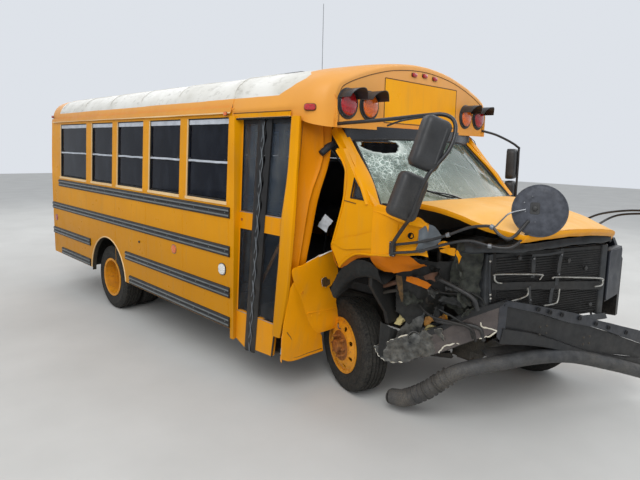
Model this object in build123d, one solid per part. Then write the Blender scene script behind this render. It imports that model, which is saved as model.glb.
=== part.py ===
"""Short school bus on a van cab chassis, parked with a collision-damaged right front corner.

Millimetres. X points to the bus's left, the nose points to -Y, Z is up and the ground is Z = 0.
All pieces are drawn from the rear axle's nominal station, then moved so that the origin is the
middle of the footprint at ground level.
"""
import math
import os

from build123d import *

os.makedirs("parts", exist_ok=True)

# Body sizes
HALF_W = 1219
WALL = 45
SKIRT_Z = 430
FLOOR_LOW = 700
FLOOR_TOP = 768
BELT_Z = 1450
GUTTER_Z = 2190
HEAD_HALF_W = 1190
REAR_Y = 1523
REAR_WALL_Y = 1478
SIDE_FRONT_Y = -2569
CAP_FACE_Y = -3505
ROOF_TOP = 2560
DOOR_HEAD_Z = 2128
SILL_Z = 1455
WINDOW_HEAD_Z = 2124

# Running gear sizes
TYRE_R = 366
TYRE_HALF_W = 108
BEAD_R = 203
REAR_AXLE_Y = -130
FRONT_AXLE_Y = -4160
DUAL_OUTER_X = 1040
DUAL_INNER_X = 795
FRONT_WHEEL_X = 874
HIT_WHEEL = (-580, -3350)
HIT_WHEEL_TURN = 19.0
RAIL_X = 430

NODES = {}


def add(name, *shapes):
    """Store the solids of the shapes under the node's name."""
    store = NODES.setdefault(name, [])
    for shape in shapes:
        store.extend(shape.solids())


def block(x0, x1, y0, y1, z0, z1):
    """Box between two corners."""
    middle = ((x0 + x1) / 2, (y0 + y1) / 2, (z0 + z1) / 2)
    return Pos(*middle) * Box(abs(x1 - x0), abs(y1 - y0), abs(z1 - z0))


def side_slab(points_yz, x0, x1):
    """Outline in the side view, as thick as the step from x0 to x1."""
    outline = Face(Wire.make_polygon([(x0, y, z) for y, z in points_yz], close=True))
    return extrude(outline, amount=x1 - x0, dir=(1, 0, 0))


def cross_slab(points_xz, y0, y1):
    """Outline in the front view, extruded from y0 to y1."""
    outline = Face(Wire.make_polygon([(x, y0, z) for x, z in points_xz], close=True))
    return extrude(outline, amount=y1 - y0, dir=(0, 1, 0))


def plan_slab(points_xy, z0, z1):
    """Outline in the plan, extruded from z0 to z1."""
    outline = Face(Wire.make_polygon([(x, y, z0) for x, y in points_xy], close=True))
    return extrude(outline, amount=z1 - z0, dir=(0, 0, 1))


def triangle(a, b, c):
    return Face(Wire.make_polygon([a, b, c], close=True))


def skin(sections):
    """Closed solid through planar outlines that have the same number of corners."""
    faces = [Face(Wire.make_polygon(sections[0], close=True))]
    faces.append(Face(Wire.make_polygon(sections[-1], close=True)))
    count = len(sections[0])
    for near, far in zip(sections, sections[1:]):
        for i in range(count):
            j = (i + 1) % count
            faces.append(triangle(near[i], near[j], far[j]))
            faces.append(triangle(near[i], far[j], far[i]))
    return Solid(Shell(faces))


def sheet(grid, step):
    """Bent sheet metal: a grid of points and the same grid moved by the step."""
    rows = len(grid)
    columns = len(grid[0])
    under = [[(p[0] + step[0], p[1] + step[1], p[2] + step[2]) for p in row] for row in grid]
    faces = []
    for i in range(rows - 1):
        for j in range(columns - 1):
            faces.append(triangle(grid[i][j], grid[i + 1][j], grid[i + 1][j + 1]))
            faces.append(triangle(grid[i][j], grid[i + 1][j + 1], grid[i][j + 1]))
            faces.append(triangle(under[i][j], under[i + 1][j], under[i + 1][j + 1]))
            faces.append(triangle(under[i][j], under[i + 1][j + 1], under[i][j + 1]))
    rim = [(i, 0) for i in range(rows)]
    rim += [(rows - 1, j) for j in range(1, columns)]
    rim += [(i, columns - 1) for i in range(rows - 2, -1, -1)]
    rim += [(0, j) for j in range(columns - 2, 0, -1)]
    for k, (i, j) in enumerate(rim):
        m, n = rim[(k + 1) % len(rim)]
        faces.append(triangle(grid[i][j], grid[m][n], under[m][n]))
        faces.append(triangle(grid[i][j], under[m][n], under[i][j]))
    return Solid(Shell(faces))


def bar(start, end, width, height, lean=(0, 0, 1)):
    """Straight rectangular bar from start to end; lean is the direction of its height."""
    a = Vector(*start)
    b = Vector(*end)
    along = (b - a).normalized()
    across = along.cross(Vector(*lean)).normalized()
    up = across.cross(along).normalized()
    corners = [(1, 1), (-1, 1), (-1, -1), (1, -1)]
    sections = []
    for centre in (a, b):
        ring = [centre + across * (s * width / 2) + up * (t * height / 2) for s, t in corners]
        sections.append([tuple(p) for p in ring])
    return skin(sections)


def tube(points, radius, bend=30):
    """Round bar or pipe along the points, with bends of the given radius."""
    if len(points) == 2:
        path = Polyline(*points)
    else:
        path = FilletPolyline(*points, radius=bend)
    start = Plane(path @ 0, z_dir=path % 0)
    return sweep((start * Circle(radius)).face(), path=path)


def turned(profile, x, y, z):
    """Ring or disc about the line through (x, y, z) along X; profile holds (along, radius)."""
    following = profile[1:] + profile[:1]
    area = sum(a[0] * b[1] - b[0] * a[1] for a, b in zip(profile, following))
    if area < 0:
        profile = profile[::-1]
    outline = Face(Wire.make_polygon([(a, r, 0) for a, r in profile], close=True))
    return Pos(x, y, z) * revolve(outline, axis=Axis.X)


def drum(x0, x1, y, z, radius):
    """Plain cylinder along X."""
    return turned([(x0, 0), (x1, 0), (x1, radius), (x0, radius)], 0, y, z)


def upright(x, y, z0, z1, radius):
    """Plain cylinder along Z."""
    return Pos(x, y, (z0 + z1) / 2) * Cylinder(radius, z1 - z0)


def lengthwise(x, z, y0, y1, radius):
    """Plain cylinder along Y."""
    return Pos(x, (y0 + y1) / 2, z) * Rot(90, 0, 0) * Cylinder(radius, abs(y1 - y0))


def mirrored(shape):
    return shape.mirror(Plane.YZ)


def outer_x(z):
    """Half width of the body's outside at height z: upright to the belt, then leaning in."""
    if z <= BELT_Z:
        return HALF_W
    return HALF_W - (HALF_W - HEAD_HALF_W) * (z - BELT_Z) / (GUTTER_Z - BELT_Z)


def wall_piece(side, y0, y1, z0, z1, near, far):
    """Piece of the leaning window wall between two depths below its outside."""
    points = [
        (side * (outer_x(z0) - near), z0),
        (side * (outer_x(z1) - near), z1),
        (side * (outer_x(z1) - far), z1),
        (side * (outer_x(z0) - far), z0),
    ]
    return cross_slab(points, y0, y1)


# Roof section: two corner arcs and one crown arc
def roof_outline(y, half, low, knuckle_x, knuckle_z, top, gutter):
    bulge_x = knuckle_x + (half - knuckle_x) * 0.73
    bulge_z = gutter + (knuckle_z - gutter) * 0.617
    crown = Edge.make_three_point_arc((-knuckle_x, y, knuckle_z), (0, y, top), (knuckle_x, y, knuckle_z))
    right = Edge.make_three_point_arc((-half, y, gutter), (-bulge_x, y, bulge_z), (-knuckle_x, y, knuckle_z))
    left = Edge.make_three_point_arc((knuckle_x, y, knuckle_z), (bulge_x, y, bulge_z), (half, y, gutter))
    side_left = Edge.make_line((half, y, gutter), (half, y, low))
    base = Edge.make_line((half, y, low), (-half, y, low))
    side_right = Edge.make_line((-half, y, low), (-half, y, gutter))
    return Face(Wire([crown, left, side_left, base, side_right, right]))


def vault(stations):
    """Loft through roof outlines."""
    return loft([roof_outline(*station) for station in stations], ruled=True)


# Chassis frame: two channel rails, the right one bent inboard ahead of the entry step
def rail_section(x, y, side, low=500, high=680, flange=65, gauge=8):
    inner = x - side * flange
    web = x - side * gauge
    points = [
        (x, low),
        (x, high),
        (inner, high),
        (inner, high - gauge),
        (web, high - gauge),
        (web, low + gauge),
        (inner, low + gauge),
        (inner, low),
    ]
    return [(px, y, pz) for px, pz in points]


RAIL_REAR_Y = 1440
LEFT_RAIL_FRONT_Y = -4700
RIGHT_RAIL_FRONT_Y = -4330
BENT_RAIL_X = -345
left_rail = skin([rail_section(RAIL_X, RAIL_REAR_Y, 1), rail_section(RAIL_X, LEFT_RAIL_FRONT_Y, 1)])
right_rail = skin([
    rail_section(-RAIL_X, RAIL_REAR_Y, -1),
    rail_section(-RAIL_X, -2640, -1),
    rail_section(BENT_RAIL_X, -2980, -1),
    rail_section(BENT_RAIL_X, RIGHT_RAIL_FRONT_Y, -1),
])
add("chassis_frame", left_rail, right_rail)
for cross_y in (1330, 640, -900, -1800, -2560):
    add("chassis_frame", block(-422, 422, cross_y - 30, cross_y + 30, 560, 640))
add("chassis_frame", block(-337, 422, -4300, -4240, 508, 560))

# Floor with its cross sills, rear wheel houses and the rear skirt ends
WELL_X = 655
WELL_Y = (-600, 350)
WELL_TOP = 905
floor = block(-1174, 1174, SIDE_FRONT_Y, REAR_WALL_Y, FLOOR_LOW, FLOOR_TOP)
for side in (-1, 1):
    floor -= block(side * WELL_X, side * 1180, WELL_Y[0], WELL_Y[1], FLOOR_LOW - 5, FLOOR_TOP + 5)
floor -= block(-1180, -560, SIDE_FRONT_Y - 5, -2540, FLOOR_LOW - 5, FLOOR_TOP + 5)
add("body_floor", floor)
add("body_floor", block(-520, 895, -2950, SIDE_FRONT_Y, FLOOR_LOW, FLOOR_TOP))
add("body_floor", block(-300, 895, -3480, -2950, FLOOR_LOW, FLOOR_TOP))
for sill_y in (1400, 900, 450, -700, -1200, -1700, -2200, -2500):
    add("body_floor", block(-1174, 1174, sill_y - 22, sill_y + 22, 680, FLOOR_LOW))
for side in (-1, 1):
    house = block(side * WELL_X, side * 1174, WELL_Y[0], WELL_Y[1], FLOOR_TOP, WELL_TOP)
    house -= block(side * (WELL_X + 6), side * 1174, WELL_Y[0] + 6, WELL_Y[1] - 6, FLOOR_TOP - 1, WELL_TOP - 6)
    add("body_floor", house)

# Lower side panels with the rear wheel arches
ARCH_Y = -200
ARCH_Z = 392
ARCH_R = 455
for side, name in ((-1, "side_panel_right"), (1, "side_panel_left")):
    panel = block(side * 1174, side * HALF_W, SIDE_FRONT_Y, REAR_WALL_Y, SKIRT_Z, BELT_Z)
    panel -= Pos(side * 1196, ARCH_Y, ARCH_Z) * Rot(0, 90, 0) * Cylinder(ARCH_R, 120)
    add(name, panel)

# Window wall: rows of name, rear edge and front edge
WINDOWS = (
    ("rear", 1221, 355),
    ("second", 205, -368),
    ("third", -485, -1079),
    ("fourth", -1203, -1784),
    ("front", -1902, -2517),
)
MID_BAR_Z = 1768
CUT_NEAR = min(HALF_W, HEAD_HALF_W) - 90
CUT_FAR = max(HALF_W, HEAD_HALF_W) + 41
for side, name in ((-1, "window_wall_right"), (1, "window_wall_left")):
    wall = wall_piece(side, SIDE_FRONT_Y, REAR_WALL_Y, BELT_Z, GUTTER_Z, 0, WALL)
    for _, rear, front in WINDOWS:
        wall -= block(side * CUT_NEAR, side * CUT_FAR, front, rear, SILL_Z, WINDOW_HEAD_Z)
    add(name, wall)
    for _, rear, front in WINDOWS:
        frame = wall_piece(side, front, rear, SILL_Z, WINDOW_HEAD_Z, 8, 38)
        low_pane = block(side * CUT_NEAR, side * CUT_FAR, front + 22, rear - 22, SILL_Z + 24, MID_BAR_Z - 14)
        high_pane = block(side * CUT_NEAR, side * CUT_FAR, front + 22, rear - 22, MID_BAR_Z + 14, WINDOW_HEAD_Z - 24)
        frame -= low_pane
        frame -= high_pane
        add("window_sashes", frame)
        low = wall_piece(side, front + 22, rear - 22, SILL_Z + 24, MID_BAR_Z - 14, 20, 26)
        high = wall_piece(side, front + 22, rear - 22, MID_BAR_Z + 14, WINDOW_HEAD_Z - 24, 20, 26)
        add("side_glass", low, high)

# Rub rails: rows of top height, rear end and front end, double ribbed
RUB_RAILS = (
    (1418, 1260, SIDE_FRONT_Y),
    (1106, REAR_Y, SIDE_FRONT_Y),
    (768, REAR_Y, 275),
    (768, -672, SIDE_FRONT_Y),
    (520, 1237, 286),
    (520, -756, SIDE_FRONT_Y),
)
RIB = ((0, 0), (8, 3), (14, 12), (14, 34), (7, 42), (7, 48), (14, 56), (14, 78), (8, 87), (0, 90))
for side in (-1, 1):
    for top, rear, front in RUB_RAILS:
        rear = min(rear, REAR_Y)
        points = [(side * (HALF_W + out), top - 90 + up) for out, up in RIB]
        add("rub_rails", cross_slab(points, front, rear))

# Roof shell with the hatch opening
roof_out = vault([
    (SIDE_FRONT_Y, HEAD_HALF_W, GUTTER_Z, 1050, 2418, ROOF_TOP, GUTTER_Z + 1),
    (1340, HEAD_HALF_W, GUTTER_Z, 1050, 2418, ROOF_TOP, GUTTER_Z + 1),
    (REAR_WALL_Y, HEAD_HALF_W, GUTTER_Z, 1045, 2412, 2548, GUTTER_Z + 1),
])
roof_in = vault([
    (SIDE_FRONT_Y - 1, HEAD_HALF_W - WALL, GUTTER_Z - 5, 1018, 2376, ROOF_TOP - 40, GUTTER_Z - 4),
    (1340, HEAD_HALF_W - WALL, GUTTER_Z - 5, 1018, 2376, ROOF_TOP - 40, GUTTER_Z - 4),
    (REAR_WALL_Y + 1, HEAD_HALF_W - WALL, GUTTER_Z - 5, 1012, 2370, 2508, GUTTER_Z - 4),
])
HATCH_Y = -2110
HATCH_HALF = 300
hatch_hole = block(-HATCH_HALF, HATCH_HALF, HATCH_Y - HATCH_HALF, HATCH_Y + HATCH_HALF, ROOF_TOP - 160, ROOF_TOP + 140)
add("roof_shell", roof_out - roof_in - hatch_hole)
for side in (-1, 1):
    drip = [(side * HEAD_HALF_W, 2190), (side * 1214, 2196), (side * 1214, 2160), (side * 1208, 2160)]
    drip += [(side * 1208, 2178), (side * outer_x(2172), 2172)]
    add("roof_shell", cross_slab(drip, SIDE_FRONT_Y, 1450))

# Hatch curb and lid
curb = block(-HATCH_HALF, HATCH_HALF, HATCH_Y - HATCH_HALF, HATCH_Y + HATCH_HALF, ROOF_TOP - 60, ROOF_TOP + 1)
curb -= block(-260, 260, HATCH_Y - 260, HATCH_Y + 260, ROOF_TOP - 160, ROOF_TOP + 140)
add("roof_shell", curb)
HATCH_PIN_Y = HATCH_Y - HATCH_HALF - 44
HATCH_PIN_Z = ROOF_TOP + 21
lid = block(-330, 330, HATCH_Y - 318, HATCH_Y + 330, ROOF_TOP + 7, ROOF_TOP + 34)
lid = chamfer(lid.faces().sort_by(Axis.Z)[-1].edges(), 9)
lid += drum(-150, 150, HATCH_PIN_Y, HATCH_PIN_Z, 9)
lid += block(-150, 150, HATCH_PIN_Y, HATCH_Y - 310, ROOF_TOP + 17, ROOF_TOP + 25)
add("roof_hatch", lid)
for side in (-1, 1):
    ear = drum(side * 150.5, side * 175, HATCH_PIN_Y, HATCH_PIN_Z, 9)
    ear += block(side * 150.5, side * 175, HATCH_PIN_Y - 9, HATCH_PIN_Y + 9, ROOF_TOP - 30, HATCH_PIN_Z)
    add("roof_shell", ear - roof_out)

# Rear wall with the door opening and two windows
REAR_DOOR = (350, 800, 2150)
rear_out = vault([
    (REAR_WALL_Y, HEAD_HALF_W, GUTTER_Z, 1045, 2412, 2548, GUTTER_Z + 1),
    (REAR_Y, HEAD_HALF_W - 22, GUTTER_Z, 1018, 2378, 2508, GUTTER_Z + 1),
])
lower = [(-HALF_W, SKIRT_Z), (-HALF_W, BELT_Z), (-HEAD_HALF_W, GUTTER_Z)]
lower += [(HEAD_HALF_W, GUTTER_Z), (HALF_W, BELT_Z), (HALF_W, SKIRT_Z)]
rear_wall = rear_out + cross_slab(lower, REAR_WALL_Y, REAR_Y)
rear_wall -= block(-356, 356, REAR_WALL_Y - 5, REAR_Y + 5, 794, 2156)
REAR_WINDOW = (470, 1080, 1480, 2060)
for side in (-1, 1):
    rear_wall -= block(side * REAR_WINDOW[0], side * REAR_WINDOW[1], REAR_WALL_Y - 5, REAR_Y + 5, REAR_WINDOW[2], REAR_WINDOW[3])
    add("rear_glass", block(side * REAR_WINDOW[0], side * REAR_WINDOW[1], 1496, 1504, REAR_WINDOW[2], REAR_WINDOW[3]))
add("rear_wall", rear_wall)

# Rear emergency door, hinged on the bus's right
REAR_PIN = (-362, 1533)
rear_door = block(-350, 350, REAR_WALL_Y, REAR_Y, 800, 2150)
rear_door -= block(-265, 265, REAR_WALL_Y - 5, REAR_Y + 5, 1480, 2060)
rear_door -= block(-265, 265, REAR_WALL_Y - 5, REAR_Y + 5, 930, 1330)
for low, high in ((1000, 1080), (1440, 1520), (1880, 1960)):
    knuckle = upright(REAR_PIN[0], REAR_PIN[1], low, high, 9)
    knuckle += block(REAR_PIN[0] + 2, -325, REAR_Y, REAR_Y + 6, low, high)
    rear_door += knuckle
    for start, end in ((low - 40, low - 0.5), (high + 0.5, high + 40)):
        fixed = upright(REAR_PIN[0], REAR_PIN[1], start, end, 9)
        fixed += block(REAR_PIN[0] - 40, REAR_PIN[0] - 2, REAR_Y, REAR_Y + 6, start, end)
        add("rear_wall", fixed)
handle = block(230, 310, REAR_Y, REAR_Y + 28, 1370, 1400)
handle += block(120, 310, REAR_Y + 28, REAR_Y + 40, 1372, 1398)
rear_door += handle
add("rear_door", rear_door)
add("rear_door_glass", block(-265, 265, 1496, 1504, 1480, 2060), block(-265, 265, 1496, 1504, 930, 1330))

# Front cap: domed moulding over the windshield and the entry door
cap_out = vault([
    (SIDE_FRONT_Y, HEAD_HALF_W, DOOR_HEAD_Z, 1050, 2418, ROOF_TOP, GUTTER_Z + 1),
    (-3120, 1186, DOOR_HEAD_Z, 1042, 2418, 2563, GUTTER_Z + 1),
    (-3380, 1150, 2065, 1000, 2410, 2570, 2215),
    (CAP_FACE_Y, 1030, 2042, 930, 2372, 2556, 2270),
])
cap_in = vault([
    (SIDE_FRONT_Y + 1, HEAD_HALF_W - WALL, DOOR_HEAD_Z - 90, 1018, 2376, ROOF_TOP - 40, GUTTER_Z - 20),
    (-3120, 1186 - WALL, DOOR_HEAD_Z - 90, 1008, 2376, 2523, GUTTER_Z - 20),
    (-3340, 1105, DOOR_HEAD_Z - 90, 960, 2366, 2528, 2190),
    (CAP_FACE_Y + 60, 1000, DOOR_HEAD_Z - 90, 890, 2330, 2512, 2240),
])
cap = cap_out - cap_in
sign = block(-500, 500, CAP_FACE_Y - 5, CAP_FACE_Y + 12, 2105, 2422)
cap -= sign
add("front_cap", cap)

# Warning lamps, front and rear: rows of X and Z
LAMP_R = 84
for x in (-909, -678, 678, 909):
    add("warning_lamps", lengthwise(x, 2207, CAP_FACE_Y - 32, CAP_FACE_Y, LAMP_R))
    visor = lengthwise(x, 2207, CAP_FACE_Y - 150, CAP_FACE_Y, 100) - lengthwise(x, 2207, CAP_FACE_Y - 155, CAP_FACE_Y + 5, 94)
    visor -= block(x - 120, x + 120, CAP_FACE_Y - 160, CAP_FACE_Y + 10, 2050, 2225)
    add("lamp_hoods", visor)
for x in (-860, -610, 610, 860):
    lamp = lengthwise(x, 2240, REAR_Y, REAR_Y + 32, LAMP_R)
    add("warning_lamps", lamp)
    visor = lengthwise(x, 2240, REAR_Y, REAR_Y + 130, 100) - lengthwise(x, 2240, REAR_Y - 5, REAR_Y + 135, 94)
    visor -= block(x - 120, x + 120, REAR_Y - 5, REAR_Y + 140, 2090, 2258)
    add("lamp_hoods", visor)

# Small lamps: rows of X, Y and Z of the middle, with sizes along X, Y and Z
SMALL_LAMPS = (
    (-145, CAP_FACE_Y - 9, 2482, 58, 18, 30),
    (0, CAP_FACE_Y - 9, 2490, 58, 18, 30),
    (145, CAP_FACE_Y - 9, 2482, 58, 18, 30),
    (-1228, -2465, 903, 18, 90, 90),
    (-1223, -1686, 947, 8, 76, 76),
    (-1223, 1414, 900, 8, 76, 76),
    (1223, -1686, 947, 8, 76, 76),
    (1223, 1414, 900, 8, 76, 76),
    (-1020, REAR_Y + 14, 1260, 150, 28, 150),
    (1020, REAR_Y + 14, 1260, 150, 28, 150),
    (-1020, REAR_Y + 14, 1000, 120, 28, 120),
    (1020, REAR_Y + 14, 1000, 120, 28, 120),
    (-145, REAR_Y + 9, 2440, 58, 18, 30),
    (0, REAR_Y + 9, 2440, 58, 18, 30),
    (145, REAR_Y + 9, 2440, 58, 18, 30),
)
for x, y, z, dx, dy, dz in SMALL_LAMPS:
    add("small_lamps", block(x - dx / 2, x + dx / 2, y - dy / 2, y + dy / 2, z - dz / 2, z + dz / 2))

# Entry door portal: upright rear post, racked front post and header
rear_post = side_slab([(-2569, 330), (-2569, DOOR_HEAD_Z), (-2624, DOOR_HEAD_Z), (-2590, 330)], -HALF_W, -1174)
add("bulkhead_right", rear_post)
front_post = skin([
    [(-1206, -3152, 380), (-1206, -3205, 380), (-1150, -3205, 380), (-1150, -3152, 380)],
    [(-1212, -3240, 1250), (-1212, -3290, 1250), (-1150, -3290, 1250), (-1150, -3240, 1250)],
    [(-1192, -3268, 2104), (-1192, -3332, 2104), (-1150, -3332, 2104), (-1150, -3268, 2104)],
])
front_post -= cap_out
add("bulkhead_right", front_post)
wing = skin([
    [(-1150, -3160, 400), (-1150, -3200, 400), (-905, -3150, 400), (-905, -3110, 400)],
    [(-1150, -3249, 1250), (-1150, -3289, 1250), (-945, -3240, 1250), (-945, -3200, 1250)],
    [(-1150, -3290, 2104), (-1150, -3330, 2104), (-930, -3360, 2104), (-930, -3320, 2104)],
])
add("bulkhead_right", wing - cap_out)

# Left transition wall from the body's side to the cab
wing_left = plan_slab([(HALF_W, -2569), (HALF_W, -2590), (1012, -2706), (940, -2706), (940, -2660), (1174, -2569)], SKIRT_Z, DOOR_HEAD_Z)
add("bulkhead_left", wing_left)
add("bulkhead_left", block(895, 1150, -3330, -2706, 2085, DOOR_HEAD_Z) - cap_out)
add("bulkhead_left", block(900, 940, -2706, -2660, FLOOR_TOP, 2085))

# Entry door: two leaning leaves, each cut for an upper and a lower pane
LEAF_T = 32


def leaf_x(z):
    return -1182 + 30 * (z - 300) / 1800


def leaf_point(y, z, depth):
    return (leaf_x(z) + depth, y, z)


def leaf_slab(corners, near, far):
    front = [leaf_point(y, z, near) for y, z in corners]
    back = [leaf_point(y, z, far) for y, z in corners]
    return skin([front, back])


REAR_LEAF = [(-2598, 350), (-2747, 292), (-2872, 2104), (-2642, 2104)]
FRONT_LEAF = [(-2812, 318), (-3048, 330), (-3220, 2098), (-2962, 2100)]
REAR_LOW_PANE = [(-2632, 585), (-2742, 560), (-2784, 1262), (-2648, 1262)]
REAR_HIGH_PANE = [(-2654, 1392), (-2798, 1392), (-2852, 2062), (-2678, 2062)]
FRONT_LOW_PANE = [(-2880, 560), (-3052, 575), (-3104, 1262), (-2912, 1262)]
FRONT_HIGH_PANE = [(-2922, 1392), (-3120, 1400), (-3186, 2062), (-2984, 2062)]
rear_leaf = leaf_slab(REAR_LEAF, 0, LEAF_T)
front_leaf = leaf_slab(FRONT_LEAF, 0, LEAF_T)
for corners in (REAR_LOW_PANE, REAR_HIGH_PANE):
    rear_leaf -= leaf_slab(corners, -5, LEAF_T + 5)
    add("entry_door_glass", leaf_slab(corners, 12, 18))
for corners in (FRONT_LOW_PANE, FRONT_HIGH_PANE):
    front_leaf -= leaf_slab(corners, -5, LEAF_T + 5)
    add("entry_door_glass", leaf_slab(corners, 12, 18))
add("entry_door_leaves", rear_leaf, front_leaf)
SEAL = [(-2747, 292), (-2812, 318), (-2962, 2100), (-2872, 2104)]
add("entry_door_seals", leaf_slab(SEAL, -10, LEAF_T))
FRONT_SEAL = [(-3048, 330), (-3075, 345), (-3238, 2096), (-3220, 2098)]
add("entry_door_seals", leaf_slab(FRONT_SEAL, -4, LEAF_T))
REAR_SEAL = [(-2574, 345), (-2598, 350), (-2642, 2104), (-2618, 2104)]
add("entry_door_seals", leaf_slab(REAR_SEAL, 0, LEAF_T) - rear_post)

# Step well behind the entry door
tread_high = block(-1080, -560, -2985, -2540, 540, 556)
riser_high = block(-575, -560, -2950, -2540, 556, FLOOR_LOW)
tread_low = block(-1120, -800, -3080, -2600, 330, 346)
riser_low = block(-815, -800, -3080, -2600, 346, 540)
well_rear = block(-1145, -560, -2560, -2545, 330, FLOOR_LOW)
add("stepwell", tread_high - well_rear, riser_high - well_rear, tread_low, riser_low, well_rear)
add("stepwell", block(-560, -520, -2950, -2569, FLOOR_LOW - 40, FLOOR_LOW))

# Torn fairing between the entry step and the front wheel
FAIRING = [
    [(-1145, -3205, 385), (-1120, -3185, 275), (-1000, -3155, 268), (-700, -3135, 285)],
    [(-1120, -3245, 800), (-1090, -3230, 620), (-960, -3195, 500), (-720, -3150, 430)],
    [(-1060, -3262, 1010), (-1030, -3258, 860), (-930, -3235, 700), (-700, -3195, 520)],
    [(-985, -3280, 1055), (-945, -3290, 980), (-860, -3275, 900), (-735, -3240, 715)],
    [(-900, -3345, 1135), (-880, -3350, 1090), (-840, -3340, 1030), (-800, -3335, 960)],
]
add("step_fairing", sheet(FAIRING, (14, 14, 0)) - front_post - wing)

# Cab frame: windshield pillars and header, left rocker and hinge pillar
PILLAR_FOOT = (960, -3833, 1500)
PILLAR_TOP = (890, -3392, 2036)
for side in (-1, 1):
    foot = (side * PILLAR_FOOT[0], PILLAR_FOOT[1], PILLAR_FOOT[2])
    top = (side * PILLAR_TOP[0], PILLAR_TOP[1], PILLAR_TOP[2])
    pillar = bar(foot, top, 62, 56, lean=(0, -0.77, 0.63))
    if side == -1:
        right_pillar = pillar
    else:
        left_pillar = pillar
header_line = [(-850, -3400), (-860, -3452), (-773, -3452), (-530, -3505), (-180, -3530)]
header_line += [(-x, y) for x, y in reversed(header_line)]
header = plan_slab(header_line, 1950, 2060) - cap_out - left_pillar - right_pillar
hinge_pillar = block(940, 1000, -3790, -3708, 560, 1540) - left_pillar
add("cab_frame", left_pillar - cap_out, right_pillar - cap_out, hinge_pillar)
add("cab_frame", block(900, 1000, -3708, -2706, 470, 560))
add("cab_frame", block(600, 900, -3770, -2706, 640, FLOOR_LOW))

# Left front door of the cab
DOOR_PIN = (1010, -3704)
door = side_slab([(-3698, 570), (-3698, 1500), (-3610, 1600), (-3430, 1990), (-3390, 2025), (-2716, 2025), (-2716, 570)], 955, 1000)
door -= side_slab([(-3640, 1480), (-3590, 1560), (-3400, 1960), (-2776, 1960), (-2776, 1480)], 940, 1010)
DOOR_KNUCKLES = ((800, 860), (1250, 1310))
for low, high in DOOR_KNUCKLES:
    door += upright(DOOR_PIN[0], DOOR_PIN[1], low, high, 10)
    door += block(1000, 1008, DOOR_PIN[1], -3650, low, high)
    for start, end in ((low - 30, low - 0.5), (high + 0.5, high + 30)):
        fixed = upright(DOOR_PIN[0], DOOR_PIN[1], start, end, 10)
        fixed += block(1000, 1008, -3750, DOOR_PIN[1], start, end)
        add("cab_frame", fixed)
door += block(1000, 1022, -2900, -2770, 1300, 1335)
add("driver_door", door)
add("driver_door_glass", side_slab([(-3640, 1480), (-3590, 1560), (-3400, 1960), (-2776, 1960), (-2776, 1480)], 974, 980))

# Right cab side panel with the small quarter window, its rear edge torn free
CAB_SIDE = [(-3471, 1220), (-3572, 1554), (-3582, 1757), (-3500, 1900), (-3560, 1900), (-3745, 1600), (-3815, 1545)]
CAB_SIDE += [(-3840, 1520), (-3840, 1222), (-3696, 1186), (-3543, 1097)]
cab_side = side_slab(CAB_SIDE, -1000, -962)
cab_side -= side_slab([(-3665, 1715), (-3640, 1570), (-3760, 1570)], -1010, -950)
cab_side -= right_pillar
add("cab_side_right", cab_side)

# Windshield: rows from the base to the head, across from right to left
SHIELD = [
    [(-915, -3850, 1512), (-620, -3925, 1508), (-210, -3965, 1505), (210, -3965, 1505), (620, -3925, 1508), (915, -3850, 1512)],
    [(-845, -3655, 1735), (-575, -3715, 1740), (-195, -3745, 1742), (195, -3745, 1742), (575, -3715, 1740), (845, -3655, 1735)],
    [(-773, -3452, 1958), (-530, -3505, 1972), (-180, -3530, 1980), (180, -3530, 1980), (530, -3505, 1972), (773, -3452, 1958)],
]
windshield = sheet(SHIELD, (0, 5, -5)) - left_pillar - right_pillar
add("windshield", windshield)

# Cowl, firewall, dash and engine cover
cowl_line = [(-940, -3800), (-925, -3850), (-620, -3931), (-210, -3971)]
cowl_line += [(-x, y) for x, y in reversed(cowl_line)]
cowl = plan_slab(cowl_line, 1330, 1507) - windshield - left_pillar - right_pillar - hinge_pillar
add("cab_frame", header - windshield)
firewall = block(-940, 900, -3800, -3770, 680, 1490) - block(-300, 300, -3810, -3760, 680, 1210)
firewall -= left_pillar + right_pillar
engine_cover = block(-320, 320, -3770, -3250, FLOOR_TOP, 1230) - block(-300, 300, -3775, -3270, FLOOR_TOP - 1, 1210)
add("cowl_and_dash", cowl, firewall, engine_cover)
add("cowl_and_dash", block(-900, 900, -3770, -3480, 1230, 1430))

# Hood: buckled and sprung open, rows from the rear edge to the front edge
HOOD = [
    [(-800, -3880, 1560), (-450, -3975, 1548), (-100, -4005, 1545), (250, -4000, 1538), (600, -3945, 1512), (870, -3880, 1462)],
    [(-805, -4080, 1562), (-455, -4130, 1575), (-100, -4150, 1572), (250, -4150, 1560), (600, -4120, 1530), (895, -4070, 1450)],
    [(-815, -4300, 1535), (-460, -4340, 1562), (-100, -4360, 1555), (250, -4360, 1535), (600, -4340, 1500), (905, -4300, 1420)],
    [(-820, -4520, 1480), (-460, -4570, 1520), (-100, -4590, 1510), (250, -4590, 1480), (600, -4570, 1440), (900, -4520, 1380)],
    [(-790, -4742, 1446), (-450, -4815, 1450), (-100, -4845, 1430), (250, -4845, 1395), (600, -4815, 1345), (850, -4738, 1271)],
]
hood = sheet(HOOD, (0, 0, -14))
add("hood", hood)

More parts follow.
